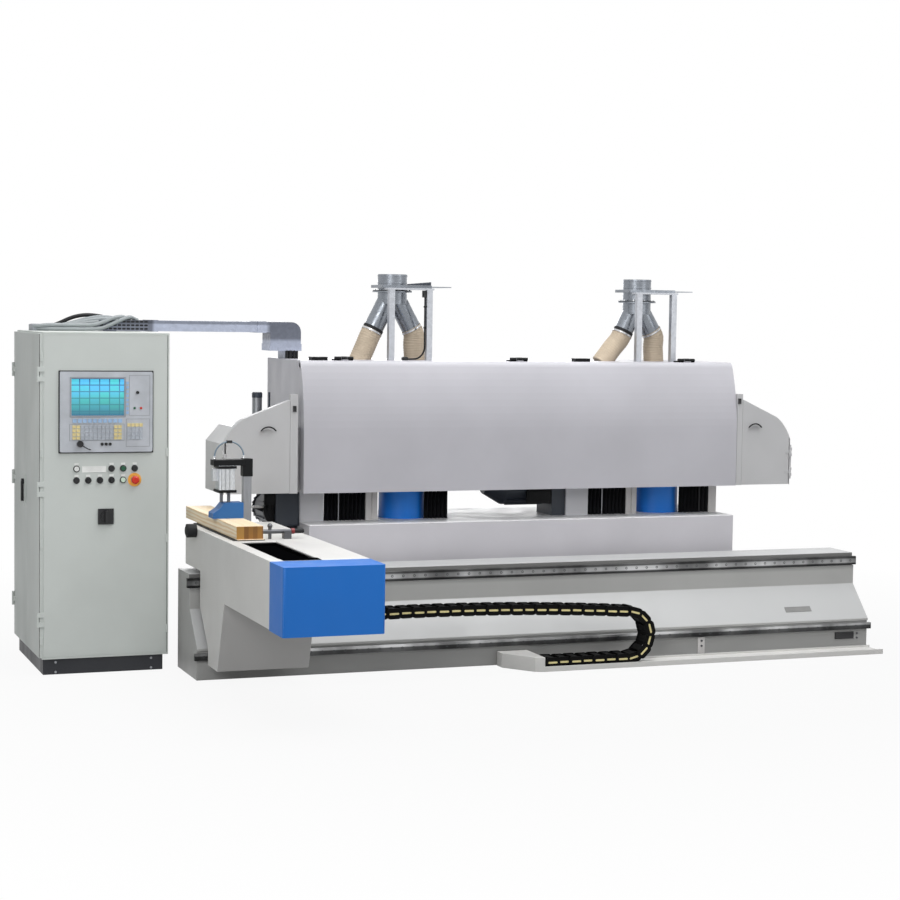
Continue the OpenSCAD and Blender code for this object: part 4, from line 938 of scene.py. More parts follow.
def step_in(obj, test, border, depth):
    """Inset the picked faces and push them in, or out when depth is negative; millimetres."""
    pick(obj, test)
    bpy.ops.mesh.inset(thickness=border / 1000, depth=0)
    bpy.ops.mesh.extrude_region_shrink_fatten(TRANSFORM_OT_shrink_fatten={"value": -depth / 1000})
    done()


def fit(obj, kind, **settings):
    """Add a modifier and apply it."""
    only(obj)
    added = obj.modifiers.new(kind.lower(), kind)
    for key, value in settings.items():
        setattr(added, key, value)
    bpy.ops.object.modifier_apply(modifier=added.name)


def soften(obj, width, segments=2):
    fit(obj, "BEVEL", width=width / 1000, segments=segments, limit_method="ANGLE", angle_limit=0.6)
    bpy.ops.object.shade_smooth_by_angle(angle=0.6)


def repeat(obj, count, step):
    fit(obj, "ARRAY", count=count, use_relative_offset=False, use_constant_offset=True,
        constant_offset_displace=Vector(step) / 1000, fit_type="FIXED_COUNT")


def saw_off(obj, place, outward):
    """Cut off all that lies beyond a plane, and close the cut."""
    pick(obj, lambda c, n: True)
    bpy.ops.mesh.bisect(plane_co=place, plane_no=outward, clear_outer=True, use_fill=True)
    done()


def round_ends(obj, radius, segments=5):
    """Round the edges of a plate that run from front to back; millimetres."""
    pick_edges(obj, lambda a, b: abs(a.x - b.x) < 1e-5 and abs(a.z - b.z) < 1e-5)
    bpy.ops.mesh.bevel(offset=radius / 1000, segments=segments, affect="EDGES")
    done()
    return obj


def hollow(obj, border, axis=1):
    """Cut a plate right through along one axis and leave a border, in millimetres."""
    pick(obj, lambda c, n: abs(n[axis]) > 0.9)
    bpy.ops.mesh.inset(thickness=border / 1000, depth=0)
    bpy.ops.mesh.bridge_edge_loops()
    done()
    return obj


print("shaping ready")

# %% Copies and finishes


def copy_of(obj, name, shift=(0, 0, 0), turn=None, about=(0, 0, 0)):
    """A copy with its own mesh, turned about a place and then shifted."""
    made = obj.copy()
    made.data = obj.data.copy()
    made.name = name
    scene.collection.objects.link(made)
    place = Matrix.Translation(Vector(shift) / 1000)
    if turn is not None:
        middle = at(*about)
        place = place @ Matrix.Translation(middle) @ turn @ Matrix.Translation(-middle)
    made.matrix_world = place
    only(made)
    bpy.ops.object.transform_apply(location=True, rotation=True, scale=True)
    return made


def join(name, pieces):
    bpy.ops.object.select_all(action="DESELECT")
    for piece in pieces:
        piece.select_set(True)
    bpy.context.view_layer.objects.active = pieces[0]
    bpy.ops.object.join()
    made = bpy.context.object
    made.name = name
    return made


def wear(obj, mat, body=None, slot=None):
    """Give a piece its finish, and let it ride on a body of the machine."""
    obj.data.materials.clear()
    obj.data.materials.append(mat)
    if body:
        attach(obj, body)
    return obj


print("copies and finishes ready")

# %% [markdown]
# ## Shapes that come again
# Many small parts of a machine are one of a few shapes: a plate with a pressed face, a turned part
# with a worked end, a wedge, a thin sleeve. Each of these is a short run of the clicks above.

# %% Shapes


def front(middle, normal):
    return normal.y < -0.9


def top(middle, normal):
    return normal.z > 0.9


def pressed(name, low, high, look, border, depth, edge=None, segments=2):
    """A box with one side stepped in or out, and its edges rounded if an edge is given."""
    made = block(name, low, high)
    step_in(made, look, border, depth)
    if edge:
        soften(made, edge, segments)
    return made


def turned(name, start, end, diameter, sides, border, depth, edge=None, segments=1):
    """A round bar with its far end stepped in or out, and its edges rounded if an edge is given."""
    made = rod(name, start, end, diameter, sides)
    way = (Vector(end) - Vector(start)).normalized()
    step_in(made, lambda c, n: n.dot(way) > 0.9, border, depth)
    if edge:
        soften(made, edge, segments)
    return made


def wedge(name, low, high, thin, lift, edge):
    """A box whose left end is thinned and lifted."""
    made = block(name, low, high)
    pick(made, lambda c, n: n.x < -0.9)
    bpy.ops.transform.resize(value=(1, 1, thin))
    bpy.ops.transform.translate(value=(0, 0, lift / 1000))
    done()
    soften(made, edge)
    return made


def tube(name, start, end, diameter, wall):
    """A thin open sleeve that grows outwards from a diameter."""
    made = rod(name, start, end, diameter, 40, "NOTHING")
    fit(made, "SOLIDIFY", thickness=wall / 1000, offset=1)
    bpy.ops.object.shade_smooth_by_angle(angle=0.6)
    return made


print("shapes ready")

# %% [markdown]
# ## Gland block, fittings and clips
# The conduits leave the cabinet through a block with a nut round each of them. The air line ends
# in two push-in fittings and is held by a clip at its crown. The switch cable comes out of a small
# switch on the duct post, is clipped twice and goes through the roof in a gland.

# %% Gland block
gland_block = pressed("gland_block", (-801, 1165, 2100), (-701, 1335, 2140), top, 10, -3, 3)
nuts = []
for k, y in enumerate(CONDUIT_YS):
    nut = rod(f"nut_{k}", (-720, y, CONDUIT_Z), (-680, y, CONDUIT_Z), 31, 6)
    soften(nut, 2)
    nuts.append(nut)
gland_block = wear(join("gland_block", [gland_block, *nuts]), rim_grey, "machine", "grey_plastic")
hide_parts("conduits")
print("gland block", len(gland_block.data.polygons), "faces")

# %% Air fittings and clip
fittings = []
for x, z in ((LOOP_X - LOOP_R, 1341), (LOOP_X + LOOP_R, 1345)):
    nut = rod("fitting", (x, LOOP_Y, z), (x, LOOP_Y, z + 9), 20, 6)
    soften(nut, 1)
    sleeve = turned("fitting_sleeve", (x, LOOP_Y, z + 9), (x, LOOP_Y, z + 19), 17, 24, 3, 2, 1, 2)
    fittings += [nut, sleeve]
air_fittings = wear(join("air_fittings", fittings), bright_steel, "carriage", "bright_steel")
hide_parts("air_hose")
crown = LOOP_Z + LOOP_R
loop_clip = pressed("loop_clip", (LOOP_X - 17, LOOP_Y - 10, crown - 9),
                    (LOOP_X + 17, LOOP_Y + 10, crown + 9), front, 4, 2, 3)
wear(loop_clip, black_plastic, "carriage", "black_plastic")
print("air fittings and clip")

# %% Duct switch, clips and roof gland
duct_switch = pressed("duct_switch", (1749, 868, 2352), (1773.8, 900, 2398), front, 4, 1.5, 2)
clips = []
for z in (2290, 2150):
    clip = block("clip", (1757, 875, z - 7), (1773.9, 893, z + 7))
    soften(clip, 4)
    clips.append(clip)
gland = pressed("gland", (1608, 866, 1930.2), (1644, 902, 1950), top, 6, -4, 2)
cable_fixings = join("cable_fixings", [duct_switch, *clips, gland])
wear(cable_fixings, black_plastic, "machine", "black_plastic")
gate_wedge = wedge("gate_wedge", (1650, 902, 2433.2), (1815, 925, 2456), 0.3, -7.5, 2)
wear(gate_wedge, dark_paint, "machine", "dark_paint")
print("cable fixings and wedge")

# %% [markdown]
# ## The drag chain
# The chain carries the carriage's cables. Its side plates overlap like fish scales, outer and
# inner links taking turns, with bars across and a yellow mark on each plate. One link of each
# kind is modelled and copied along the chain's line: a low arch that falls to the bend, half a
# circle and the trough. Each copy is turned to the line's slope, as stiff links lie. The upper run
# shortens as the carriage comes along, and the lower run is drawn out behind the bend.

# %% Chain links
LINK, PLATE, CHAIN_Y = 82, 33, -230


def chain_link(reach):
    """One link with its middle over the bed's corner, so that copies can be turned and shifted."""
    front_y, back_y = CHAIN_Y - reach, CHAIN_Y + reach
    near = round_ends(block("near", (-50, front_y, -PLATE), (50, front_y + 8, PLATE)), 26)
    step_in(near, front, 5, 1.5)
    far = round_ends(block("far", (-50, back_y - 8, -PLATE), (50, back_y, PLATE)), 26)
    step_in(far, lambda c, n: n.y > 0.9, 5, 1.5)
    bars = [block("bar", (-20, front_y + 7, low), (20, back_y - 7, low + 6)) for low in (-28, 22)]
    plates = wear(join("plates", [near, far, *bars]), chain_plastic)
    mark = round_ends(block("mark", (-31, front_y + 0.3, -6), (31, front_y + 1.9, 6)), 5.6)
    return join("link", [plates, wear(mark, chain_yellow)])


links = [chain_link(70), chain_link(62)]
print("link", len(links[0].data.polygons), "faces")

# %% The chain's line
BRACKET_X, CHAIN_X, CREST_X, BEND_X, ANCHOR_X = 622, 630, 1400, 2762, 2169
CREST_Z, BEND_TOP, LOWER_Z = 408, 356, 54
BEND_R, BEND_Z = (BEND_TOP - LOWER_Z) / 2, (BEND_TOP + LOWER_Z) / 2
FALL = (CREST_Z - BEND_TOP) / (BEND_X - CREST_X) ** 2
BEND_TRAVEL, CUT = 1690, 0.3


def arch(x):
    """Height and slope of the upper run."""
    return CREST_Z - FALL * (x - CREST_X) ** 2, math.atan(2 * FALL * (x - CREST_X))


def stretch(name, places, low, high):
    """Copies of the links at places of x, height and slope, cut off square at both ends."""
    copies = []
    for k, (x, z, slope) in enumerate(places):
        turn = Matrix.Rotation(slope, 4, "Y")
        copies.append(copy_of(links[k % 2], f"{name}_{k}", (x, 0, z), turn, (0, CHAIN_Y, 0)))
    made = join(name, copies)
    for edge, outward in ((low, -1), (high, 1)):
        saw_off(made, at(edge, 0, 0), (outward, 0, 0))
    return made


print("bend of", BEND_R, "mm radius")

# %% The three stretches
middles = [CHAIN_X + LINK * (k + 0.5) for k in range(26)]
upper_run = stretch("chain_upper_links", [(x, *arch(x)) for x in middles], CHAIN_X + CUT, BEND_X - CUT)
end_z = arch(CHAIN_X)[0]
bracket = block("chain_bracket", (BRACKET_X + 0.2, CHAIN_Y - 70, end_z - PLATE),
                (CHAIN_X + 0.2, CHAIN_Y + 70, end_z + PLATE))
soften(bracket, 2)
upper_run = join("chain_upper_links", [upper_run, wear(bracket, dark_paint)])
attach(upper_run, "carriage")
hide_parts("chain_upper")
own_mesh(upper_run)

turns = [math.pi / 6 * (k + 0.5) for k in range(6)]
half_circle = [(BEND_X + BEND_R * math.sin(a), BEND_Z + BEND_R * math.cos(a), a) for a in turns]
bend = stretch("chain_bend_links", half_circle, BEND_X + CUT, BEND_X + 2 * BEND_R)
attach(bend, "chain_bend_body")
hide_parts("chain_bend")

middles = [BEND_X - LINK * (k + 0.5) for k in range(8)]
lower_run = stretch("chain_lower_links", [(x, LOWER_Z, 0) for x in middles], ANCHOR_X + CUT, BEND_X - CUT)
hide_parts("chain_lower")
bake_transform(lower_run)
for link in links:
    bpy.data.objects.remove(link)
for run in (upper_run, bend, lower_run):
    print(run.name, len(run.data.polygons), "faces")

# %% [markdown]
# ## Extraction hoses
# Four beige hoses lead from the roof up to the legs of the wyes. A hose of this kind is cloth on a
# wire helix, so its wall swells between the turns of the wire. A curve whose points are thick and
# thin in turn gives that, and it becomes a mesh once it is bent. A band clamps the upper end on its
# leg, and the foot goes down into the roof.

# %% Hoses and bands
ROOF, DUCT_Y = 1930, 1050
FLANGES = (2384, 2341)
DUCTS = (1589, 3420)
LEGS = (((-151, 172), (151, 192)), ((-118, 173), (131, 190)))
FEET = ((-227, 165), (-256, 142))
IN_ROOF, ON_LEG, HOSE_D = 22, 30, 0.143


def band(name, middle, direction, diameter, width, mat, wall=2.0):
    """A flat ring round a pipe, with its middle in millimetres."""
    half_step = direction.normalized() * width / 2
    made = rod(name, middle - half_step, middle + half_step, diameter, 48, "NOTHING")
    fit(made, "SOLIDIFY", thickness=wall / 1000, offset=1)
    soften(made, 0.6, 1)
    return wear(made, mat)


bands, cuffs = [], []
for side, duct in enumerate(DUCTS):
    for k, ((leg_x, leg_z), foot) in enumerate(zip(LEGS[side], FEET[side])):
        low = Vector((duct + foot, DUCT_Y, ROOF))
        high = Vector((duct + leg_x, DUCT_Y, ROOF + leg_z))
        leg_way = (Vector((duct + 0.25 * leg_x, DUCT_Y, FLANGES[side] - 60)) - high).normalized()
        line_way = (high - low).normalized()
        span = (high - low).length
        stops = [low - IN_ROOF * line_way, low + 0.25 * span * line_way, low + 0.55 * span * line_way,
                 high - 0.16 * span * (leg_way + line_way) / 2, high, high + ON_LEG * leg_way]
        count = int((span + IN_ROOF + ON_LEG) / 4)
        places, length = route([at(*p) for p in stops], count)
        made = hose(f"hose_{side + 1}{'ab'[k]}", places, HOSE_D, hose_beige)
        for i, point in enumerate(made.data.splines[0].points):
            point.radius = 1 - 0.016 * (1 + math.cos(i * math.pi / 2))
        made.data.bevel_resolution = 10
        only(made)
        bpy.ops.object.convert(target="MESH")
        wear(made, hose_beige, "machine", "beige_hose")
        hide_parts("duct_hoses")
        bands.append(band(f"band_{side}{k}", high + 20 * leg_way, leg_way, 143.5, 12, bright_steel))
        if k == 0:
            cuffs.append(band(f"cuff_{side}", high + 38 * leg_way, leg_way, 136, 22, black_rubber, 3))
        print(made.name, round(length, 3), "m")
wear(join("hose_bands", bands), bright_steel, "machine", "bright_steel")
wear(join("hose_cuffs", cuffs), black_rubber, "machine", "black_rubber")

# %% Flange seals, bolts and collar beads
UPWARDS, BOLT_CIRCLE = Vector((0, 0, 1)), 118
seals, beads, bolts = [], [], []
for side, duct in enumerate(DUCTS):
    flange = FLANGES[side]
    seal_spot = Vector((duct, DUCT_Y, flange + 8.5))
    seals.append(band(f"seal_{side}", seal_spot, UPWARDS, 204, 9, black_rubber, 30))
    for z in (2446, 2496):
        beads.append(band(f"bead_{side}_{z}", Vector((duct, DUCT_Y, z)), UPWARDS, 200.5, 6, duct_zinc, 3))
    for k in range(10):
        a = math.tau * (k + 0.5) / 10
        x, y = duct + BOLT_CIRCLE * math.cos(a), DUCT_Y + BOLT_CIRCLE * math.sin(a)
        bolts.append(turned("bolt", (x, y, flange + 13), (x, y, flange + 20), 15, 6, 2, -1))
wear(join("flange_seals", seals), black_rubber, "machine", "black_rubber")
wear(join("collar_beads", beads), duct_zinc, "machine", "galvanised")
wear(join("flange_bolts", bolts), bright_steel, "machine", "bright_steel")
print("flanges dressed")

# %% [markdown]
# ## Control panel
# The panel is a grey moulding with a dark seal round it, a rim round the screen and rows of
# membrane keys: grey in the middle, cream at the ends, pale blue below and beside the screen. A key
# is a small dished cap, made once for each block of keys and laid out by two arrays.

# %% Panel seal and rims
PANEL_Y, SHELL_Y = 400, 418
panel_seal = hollow(block("panel_seal", (-765, 408, 1364), (-183, SHELL_Y - 0.2, 1868)), 5.4)
soften(panel_seal, 2)
wear(panel_seal, black_rubber, "machine", "black_rubber")
rims = []
for name, low_x, low_z, high_x, high_z, border, lift in (
        ("screen_rim", -699, 1584, -356, 1830, 9, 3), ("key_rim", -701, 1440, -364, 1543, 3, 1.4),
        ("pad_rim", -354, 1402, -206, 1574, 3, 1.4), ("lamp_rim", -336, 1592, -206, 1842, 3, 1.4)):
    rim = hollow(block(name, (low_x, PANEL_Y - lift, low_z), (high_x, PANEL_Y + 0.5, high_z)), border)
    soften(rim, 0.6, 1)
    rims.append(rim)
wear(join("panel_rims", rims), rim_grey, "machine", "grey_plastic")
print("panel rims", len(rims))

# %% Keys
ROW_Z, KEY, KEY_STEP = 1448, (20, 17), (25.5, 23)
PAD_X, PAD_KEY, PAD_STEP = -346, (19, 19), (25, 26)


def key_block(name, place, size, counts, pitch):
    """One dished key, then arrays of it along X and up."""
    (x, z), (width, height) = place, size
    made = pressed(name, (x - 0.6, PANEL_Y - 5.2, z - 0.6),
                   (x + width + 0.6, PANEL_Y - 0.2, z + height + 0.6), front, 2.2, 0.8, 0.7, 1)
    repeat(made, counts[0], (pitch[0], 0, 0))
    repeat(made, counts[1], (0, 0, pitch[1]))
    return made


grey_keys = [key_block("letters", (-632, ROW_Z), KEY, (8, 4), KEY_STEP),
             key_block("digits", (PAD_X, ROW_Z), PAD_KEY, (4, 3), PAD_STEP)]
cream_keys = [key_block("left_keys", (-683, ROW_Z), KEY, (2, 4), KEY_STEP),
              key_block("right_keys", (-428, ROW_Z), KEY, (2, 4), KEY_STEP),
              key_block("top_keys", (PAD_X, ROW_Z + 3 * PAD_STEP[1]), PAD_KEY, (4, 1), PAD_STEP)]
blue_keys = [key_block("soft_keys", (-681, 1551), (22, 22), (10, 1), (31, 26)),
             key_block("side_keys", (-353, 1604), (14, 14), (1, 8), (25, 26))]
wear(join("keys_grey", grey_keys), key_grey, "machine", "grey_plastic")
wear(join("keys_cream", cream_keys), key_cream, "machine", "white_plastic")
wear(join("keys_blue", blue_keys), key_blue, "machine", "blue_paint")
print("keys ready")

# %% Lamps, sockets and plug cap


def stud(name, x, z, diameter, proud, dish=1.0, sides=24):
    """A round part on the panel, dished in its face."""
    return turned(name, (x, PANEL_Y, z), (x, PANEL_Y - proud, z), diameter, sides, diameter * 0.16, dish, 0.8)


sockets = [stud("socket", x, 1419, 19, 7, 4) for x in (-502, -477.5, -453)]
cap = stud("plug_cap", -637, 1421, 40, 20, 2, 16)
knob = stud("star_knob", -284, 1735, 20, 9, 1, 8)
wear(join("panel_sockets", [*sockets, cap, knob]), black_plastic, "machine", "black_plastic")
wear(stud("ready_lamp", -302, 1639, 15, 5), green_plastic, "machine", "green_plastic")
wear(stud("fault_lamp", -262, 1639, 15, 5), red_plastic, "machine", "red_plastic")
print("panel lamps and sockets")

# %% [markdown]
# ## Control rows, tags and cabinet fittings
# Under the panel each control has a blank tag above it, and the emergency stop stands on an amber
# ring. Small hinge caps mark the doors' edges, and the plinth is bolted at its corners.

# %% Control rows
ROW_X, ROW_STEP, ROWS = -655, 71.7, (1267, 1196)
tags = []
for row, columns in ((0, (0, 3, 4, 5)), (1, (0, 1, 2, 3, 4))):
    for column in columns:
        x, z = ROW_X + column * ROW_STEP, ROWS[row]
        tag_low, tag_high = (x - 13, SHELL_Y - 2, z + 22), (x + 13, SHELL_Y - 0.1, z + 35)
        tags.append(pressed("tag", tag_low, tag_high, front, 2, 0.5))
label = pressed("label", (-621, SHELL_Y - 2.5, 1244), (-474, SHELL_Y - 0.1, 1282), front, 4, 0.8, 0.8, 1)
wear(join("control_tags", [*tags, label]), white_plastic, "machine", "white_plastic")
stop_x = ROW_X + 5 * ROW_STEP
stop_ring = rod("stop_ring", (stop_x, SHELL_Y - 0.2, ROWS[1]), (stop_x, SHELL_Y - 3.2, ROWS[1]), 84, 64)
soften(hollow(stop_ring, 19), 0.8, 1)
wear(stop_ring, amber_plastic, "machine", "white_plastic")
print("tags", len(tags) + 1)

# %% Hinge caps and plinth bolts
caps = []
for x, heights in ((-867, (1949, 1365, 810, 214)), (-95, (1365, 829, 263))):
    for z in heights:
        hinge_cap = block("hinge_cap", (x - 9, SHELL_Y - 4, z - 26), (x + 9, SHELL_Y - 0.1, z + 26))
        pick(hinge_cap, front)
        bpy.ops.mesh.inset(thickness=0.003, depth=0)
        bpy.ops.transform.resize(value=(0.7, 1, 0.9))
        done()
        soften(hinge_cap, 1.2, 1)
        caps.append(hinge_cap)
wear(join("hinge_caps", caps), cabinet_paint, "machine", "cabinet_paint")
plinth_y = front_of("cabinet_plinth")
plinth_bolts = [turned("plinth_bolt", (x, plinth_y, z), (x, plinth_y - 5, z), 16, 6, 3, -1.5)
                for x in (-776, -183) for z in (76, 16)]
wear(join("plinth_bolts", plinth_bolts), post_steel, "machine", "bright_steel")
print("hinge caps", len(caps))

# %% Seams of the cabinet front
seams = []
for x in (-880.6, -93):
    seam = block("seam", (x, SHELL_Y - 0.5, 112), (x + 2.6, SHELL_Y + 0.4, 2088))
    soften(seam, 0.2, 1)
    seams.append(seam)
wear(join("cabinet_seams", seams), black_rubber, "machine", "black_rubber")
print("seams", len(seams))

# %% [markdown]
# ## Rails, plates and straps of the bed
# Both rails are screwed down every 75 mm, and from the front the rows of screws are what one sees
# of them. A screw head with its socket is made once and an Array runs it down the bed. The heads
# stay flush, because the guide blocks pass just over them.

# %% Rail screws


def rail_screws(name, y, z):
    made = turned(name, (40, y + 2, z), (40, y - 0.2, z), 17, 12, 4, 1.6)
    repeat(made, 63, (75, 0, 0))
    return made


screws = join("rail_screws", [rail_screws("upper_screws", 187, 572), rail_screws("lower_screws", -25, 146)])
wear(screws, screw_dark, "machine", "dark_steel")
print("rail screws", len(screws.data.polygons), "faces")

# %% Plates on the bed
SLOPE_LOW, SLOPE_HIGH = Vector((0, -11, 195)), Vector((0, 191, 412))
lean = math.atan2(SLOPE_HIGH.z - SLOPE_LOW.z, SLOPE_HIGH.y - SLOPE_LOW.y)
plate_y, plate_z = SLOPE_LOW.lerp(SLOPE_HIGH, 0.33).yz
flat = pressed("flat", (4104, plate_y - 21, plate_z + 0.2), (4304, plate_y + 21, plate_z + 2.2),
               top, 5, 0.7, 0.8, 1)
bare_plate = copy_of(flat, "bare_plate", turn=Matrix.Rotation(lean, 4, "X"), about=(4204, plate_y, plate_z))
bpy.data.objects.remove(flat)
wear(bare_plate, plate_grey, "machine", "grey_plastic")
slot_cover = pressed("slot_cover", (4465, -6, 58), (4613, -0.2, 106), front, 7, 2, 2)
wear(slot_cover, black_plastic, "machine", "black_plastic")
strap = pressed("strap", (3412, -6, 10), (3462, -0.2, 118), front, 6, -1, 1.5)
wear(strap, guide_paint, "machine", "pale_steel")
strap_bolts = [turned("strap_bolt", (x, seat, z), (x, tip, z), 15, 6, 2.5, -1.5)
               for x, seat, tip, heights in ((3437, -6, -12, (60, 94)), (4640, -0.2, -6, (92, 62)))
               for z in heights]
wear(join("strap_bolts", strap_bolts), stop_steel, "machine", "dark_steel")
print("bed plates ready")

# %% [markdown]
# ## The last pleats
# The right chip screen reaches over to its guide post in two more folds. A grid of four columns
# stands upright, every second line of it is pushed back, and a Solidify modifier gives the cloth
# its thickness.

# %% Screen end
bpy.ops.object.select_all(action="DESELECT")
bpy.ops.mesh.primitive_grid_add(x_subdivisions=4, y_subdivisions=1, size=1, location=at(3895.5, 867, 1172),
                                rotation=(math.pi / 2, 0, 0))
screen_end = bpy.context.object
screen_end.name = "screen_end"
screen_end.scale = (0.064, 0.62, 1)
bpy.ops.object.transform_apply(location=True, rotation=True, scale=True)
FOLDS_BACK = [at(x, 0, 0).x for x in (3879.5, 3911.5)]
pick_edges(screen_end, lambda a, b: abs(a.x - b.x) < 0.001 and min(abs(a.x - x) for x in FOLDS_BACK) < 0.001)
bpy.ops.transform.translate(value=(0, 0.026, 0))
done()
fit(screen_end, "SOLIDIFY", thickness=0.01, offset=-1)
wear(screen_end, screen_rubber, "machine", "black_rubber")
print("screen end", len(screen_end.data.polygons), "faces")

# %% [markdown]
# ## Guide rods of the pleats
# A slim pale rod stands before each screen and keeps its folds in line. It is a turned rod with a
# foot: a long cylinder, and a wider collar stepped up round its bottom.

# %% Guide rods
ROD_Y, ROD_FOOT = 861, 862.2
guide_rods = []
for x in (1164, 3091):
    guide_rods.append(rod("guide_rod", (x, ROD_Y, ROD_FOOT), (x, ROD_Y, 1480), 8, 16))
    guide_rods.append(turned("foot", (x, ROD_Y, ROD_FOOT), (x, ROD_Y, 872), 9.6, 16, 1, -1, 0.5))
wear(join("guide_rods", guide_rods), post_steel, "machine", "bright_steel")
print("guide rods", len(guide_rods) // 2)

# %% [markdown]
# ## Carriage and clamp
# The carriage runs against a rubber buffer on its left side. The clamp's cylinder has dark end
# caps and three slim profile covers on its front, and the stop rod has a red collar and a rubber
# end. A dark strip beside the timber is painted shadow, a dark tray in the long slot of the table
# is painted shade, and a plate that goes under the end cover closes the slot's end.

# %% Buffer, caps and covers
buffer = turned("buffer", (54.8, 260, 888), (-5, 260, 888), 84, 40, 14, -6, 6, 3)
wear(buffer, black_rubber, "carriage", "black_rubber")
end_caps = []
for low in (1141, 1288):
    end_cap = hollow(block("end_cap", (131, 7, low), (245, 133, low + 16.8)), 5.4, 2)
    soften(end_cap, 1.5, 1)
    end_caps.append(end_cap)
wear(join("cylinder_caps", end_caps), black_paint, "carriage", "black_paint")
covers = [pressed("cover", (x, 8.5, 1160), (x + 18, 12.4, 1286), front, 3, 1, 1, 1) for x in (152, 178, 204)]
wear(join("cylinder_covers", covers), clamp_cast, "carriage", "cast_aluminium")
print("buffer, caps and covers")

# %% Stop rod's end, strip and slot
STOP_Y, STOP_Z = -405, 946
collar = rod("stop_collar", (470, STOP_Y, STOP_Z), (490, STOP_Y, STOP_Z), 34, 32)
step_in(collar, lambda c, n: abs(n.x) > 0.9, 4, -2)
soften(collar, 1.5, 1)
wear(collar, dark_red, "carriage", "red_plastic")
stop_end = turned("stop_end", (490.2, STOP_Y, STOP_Z), (545, STOP_Y, STOP_Z), 28, 32, 4, -5, 2, 2)
wear(stop_end, black_rubber, "carriage", "black_rubber")
# painted shadow: a near-black strip beside the timber
timber_shadow_strip = pressed("timber_shadow_strip", (104, -470, 902.2), (126.6, 536, 906), top, 3, 1, 0.8, 1)
wear(timber_shadow_strip, black_rubber, "carriage", "black_rubber")
# painted shade: a dark tray sunk in the table's slot
slot_shade_tray = pressed("slot_shade_tray", (130.4, -1348.6, 868), (344.6, -521.4, 886), top, 4, 12, 0.8, 1)
wear(slot_shade_tray, slot_black, "carriage", "black_plastic")
slot_gaiter = block("slot_gaiter", (130, -1430, 902.2), (345, -1347, 904))
soften(slot_gaiter, 0.6, 1)
wear(slot_gaiter, slot_black, "carriage", "black_plastic")
print("carriage details ready")

# %% [markdown]
# ## Guards and hood
# Each guard door has a grip pressed into its sheet, which shows as the upper part of a ring, and
# each guard has a small lock. The lift cylinder over the saw has a pale barrel, a sleeve that is
# slipped over the solid. The hood turns on three hinges with dark sleeves.

# %% Guard grips, locks and lift cylinder
GRIP_Y, GRIP_Z, GRIP_CUT = front_of("left_guard_door") - 1, 1446, 33
for side, x in (("left", 602), ("right", 4135)):
    bpy.ops.object.select_all(action="DESELECT")
    bpy.ops.mesh.primitive_torus_add(major_segments=72, minor_segments=10, major_radius=0.06,
                                     minor_radius=0.0045, location=at(x, GRIP_Y, GRIP_Z),
                                     rotation=(math.pi / 2, 0, 0))
    grip = bpy.context.object
    grip.name = f"grip_{side}"
    bpy.ops.object.transform_apply(location=True, rotation=True, scale=True)
    saw_off(grip, at(x, 0, GRIP_Z + GRIP_CUT), (0, 0, -1))
    bpy.ops.object.shade_smooth_by_angle(angle=0.7)
    wear(grip, black_paint, f"{side}_guard_door_body", "black_paint")
    print(grip.name, len(grip.data.polygons), "faces")
locks = [pressed("lock", (x - 11, 592, z - 19), (x + 11, 599.8, z + 19), front, 3, 1, 2)
         for x, z in ((779, 1621), (4015, 1664))]
wear(join("guard_locks", locks), black_plastic, "machine", "black_plastic")
barrel = tube("lift_barrel", (674, 1130, 1550), (674, 1130, 1670), 63.2, 1.2)
wear(barrel, post_steel, "machine", "bright_steel")

# %% Hinge sleeves
HOOD_X, HOOD_L, HINGE_Y, HINGE_Z = 845, 3155, 746, 1944
HALF_SLEEVE = 20
middles = [HOOD_X + share * HOOD_L for share in (0.098, 0.492, 0.894)]
sleeves = [tube("sleeve", (x - HALF_SLEEVE, HINGE_Y, HINGE_Z), (x + HALF_SLEEVE, HINGE_Y, HINGE_Z), 24.4, 0.8)
           for x in middles]
wear(join("hinge_sleeves", sleeves), black_paint, "hood_front_body", "black_paint")
print("hinge sleeves", len(sleeves))

# %% [markdown]
# ## Saw motor, tray and elbow
# The saw motor ends in a fan cover with raised rings, behind a dark shield and the saw's head, and
# a pale plate on a gusset beside it carries the offcut. The right motor has a terminal box. Rows of
# dark rounded patches along the open cable tray's side are painted shade seen through its slots, and
# cables drop out of the elbow into the hood.

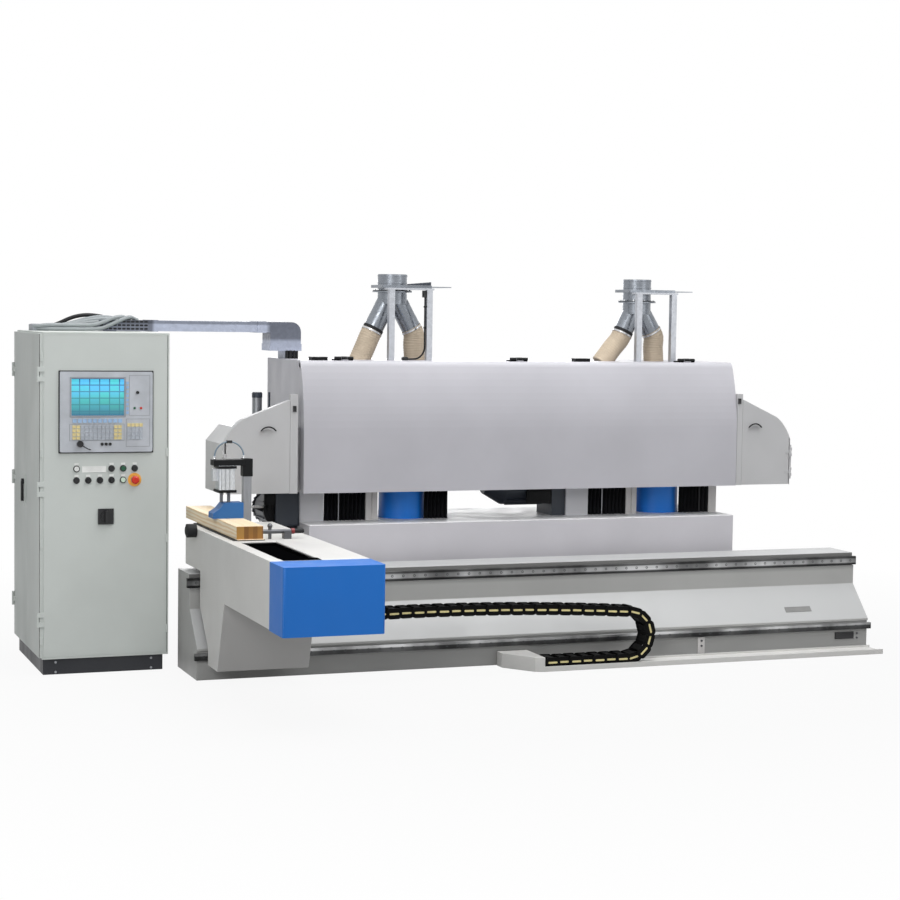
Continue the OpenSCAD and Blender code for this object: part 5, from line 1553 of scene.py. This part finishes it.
# %% Fan cover and offcut plate
SAW_X, SAW_Z, SAW_FRONT = 760, 940, 866
hub = at(SAW_X, 0, SAW_Z).xz
fan_cover = rod("fan_cover", (SAW_X, SAW_FRONT + 26, SAW_Z), (SAW_X, SAW_FRONT - 6, SAW_Z), 216, 48)
for border, depth in ((10, 3), (18, -3), (20, 3), (18, -3)):
    step_in(fan_cover, lambda c, n: front(c, n) and (c.xz - hub).length < 0.001, border, depth)
soften(fan_cover, 1.2, 1)
wear(fan_cover, black_paint, "machine", "black_paint")
offcut_plate = block("offcut_plate", (570, 872, 957), (662, 934, 967))
pick(offcut_plate, lambda c, n: n.x < -0.9)
bpy.ops.mesh.extrude_region_move(TRANSFORM_OT_translate={"value": (-0.014, 0, -0.007)})
done()
soften(offcut_plate, 1.5)
wear(offcut_plate, guide_paint, "machine", "pale_steel")
gusset = wedge("gusset", (600, 896, 925), (662, 906, 957.2), 0.15, 13.5, 1)
wear(gusset, black_paint, "machine", "black_paint")
print("fan cover and offcut plate")

# %% Shield, saw head and terminal box
shield = pressed("saw_shield", (724, 834, 838), (886, 859.5, 1060), front, 12, 5, 5)
wear(shield, dark_paint, "machine", "dark_paint")
saw_head = pressed("saw_head", (650, 838, 978), (723, 859.5, 1058), front, 8, -6, 4)
gland = turned("gland", (684, 849, 978), (684, 849, 952), 24, 12, 4, -8, 1.5)
wear(join("saw_head", [saw_head, gland]), black_paint, "machine", "black_paint")
terminal_box = block("terminal_box", (2530, 868, 952), (2700, 896, 1042))
step_in(terminal_box, front, 7, -5)
step_in(terminal_box, front, 12, 2)
soften(terminal_box, 3)
wear(terminal_box, black_paint, "machine", "black_paint")
print("saw and motor details ready")

# %% Tray slots and elbow cables
# painted shade: dark rounded patches on the tray's side for the shade inside its slots
slots = []
for z in (2112, 2135, 2158):
    slot_shade = round_ends(block("slot_shade", (-374, 1149.4, z), (-350, 1150.6, z + 12)), 5.5, 3)
    repeat(slot_shade, 11, (29, 0, 0))
    slots.append(slot_shade)
wear(join("tray_slot_shades", slots), black_rubber, "machine", "black_rubber")
drops = []
for x, thick in ((884, 20), (908, 24), (934, 18), (954, 14)):
    drop = rod("drop", (x, 1152, 1930.4), (x, 1152, 1984), thick, 20)
    step_in(drop, lambda c, n: abs(n.z) > 0.9, 2, -1)
    soften(drop, 1, 1)
    drops.append(drop)
wear(join("elbow_cables", drops), black_rubber, "machine", "black_rubber")
print("tray and elbow dressed")

# %% [markdown]
# ## The end

# %% Finish
print("dressing done")
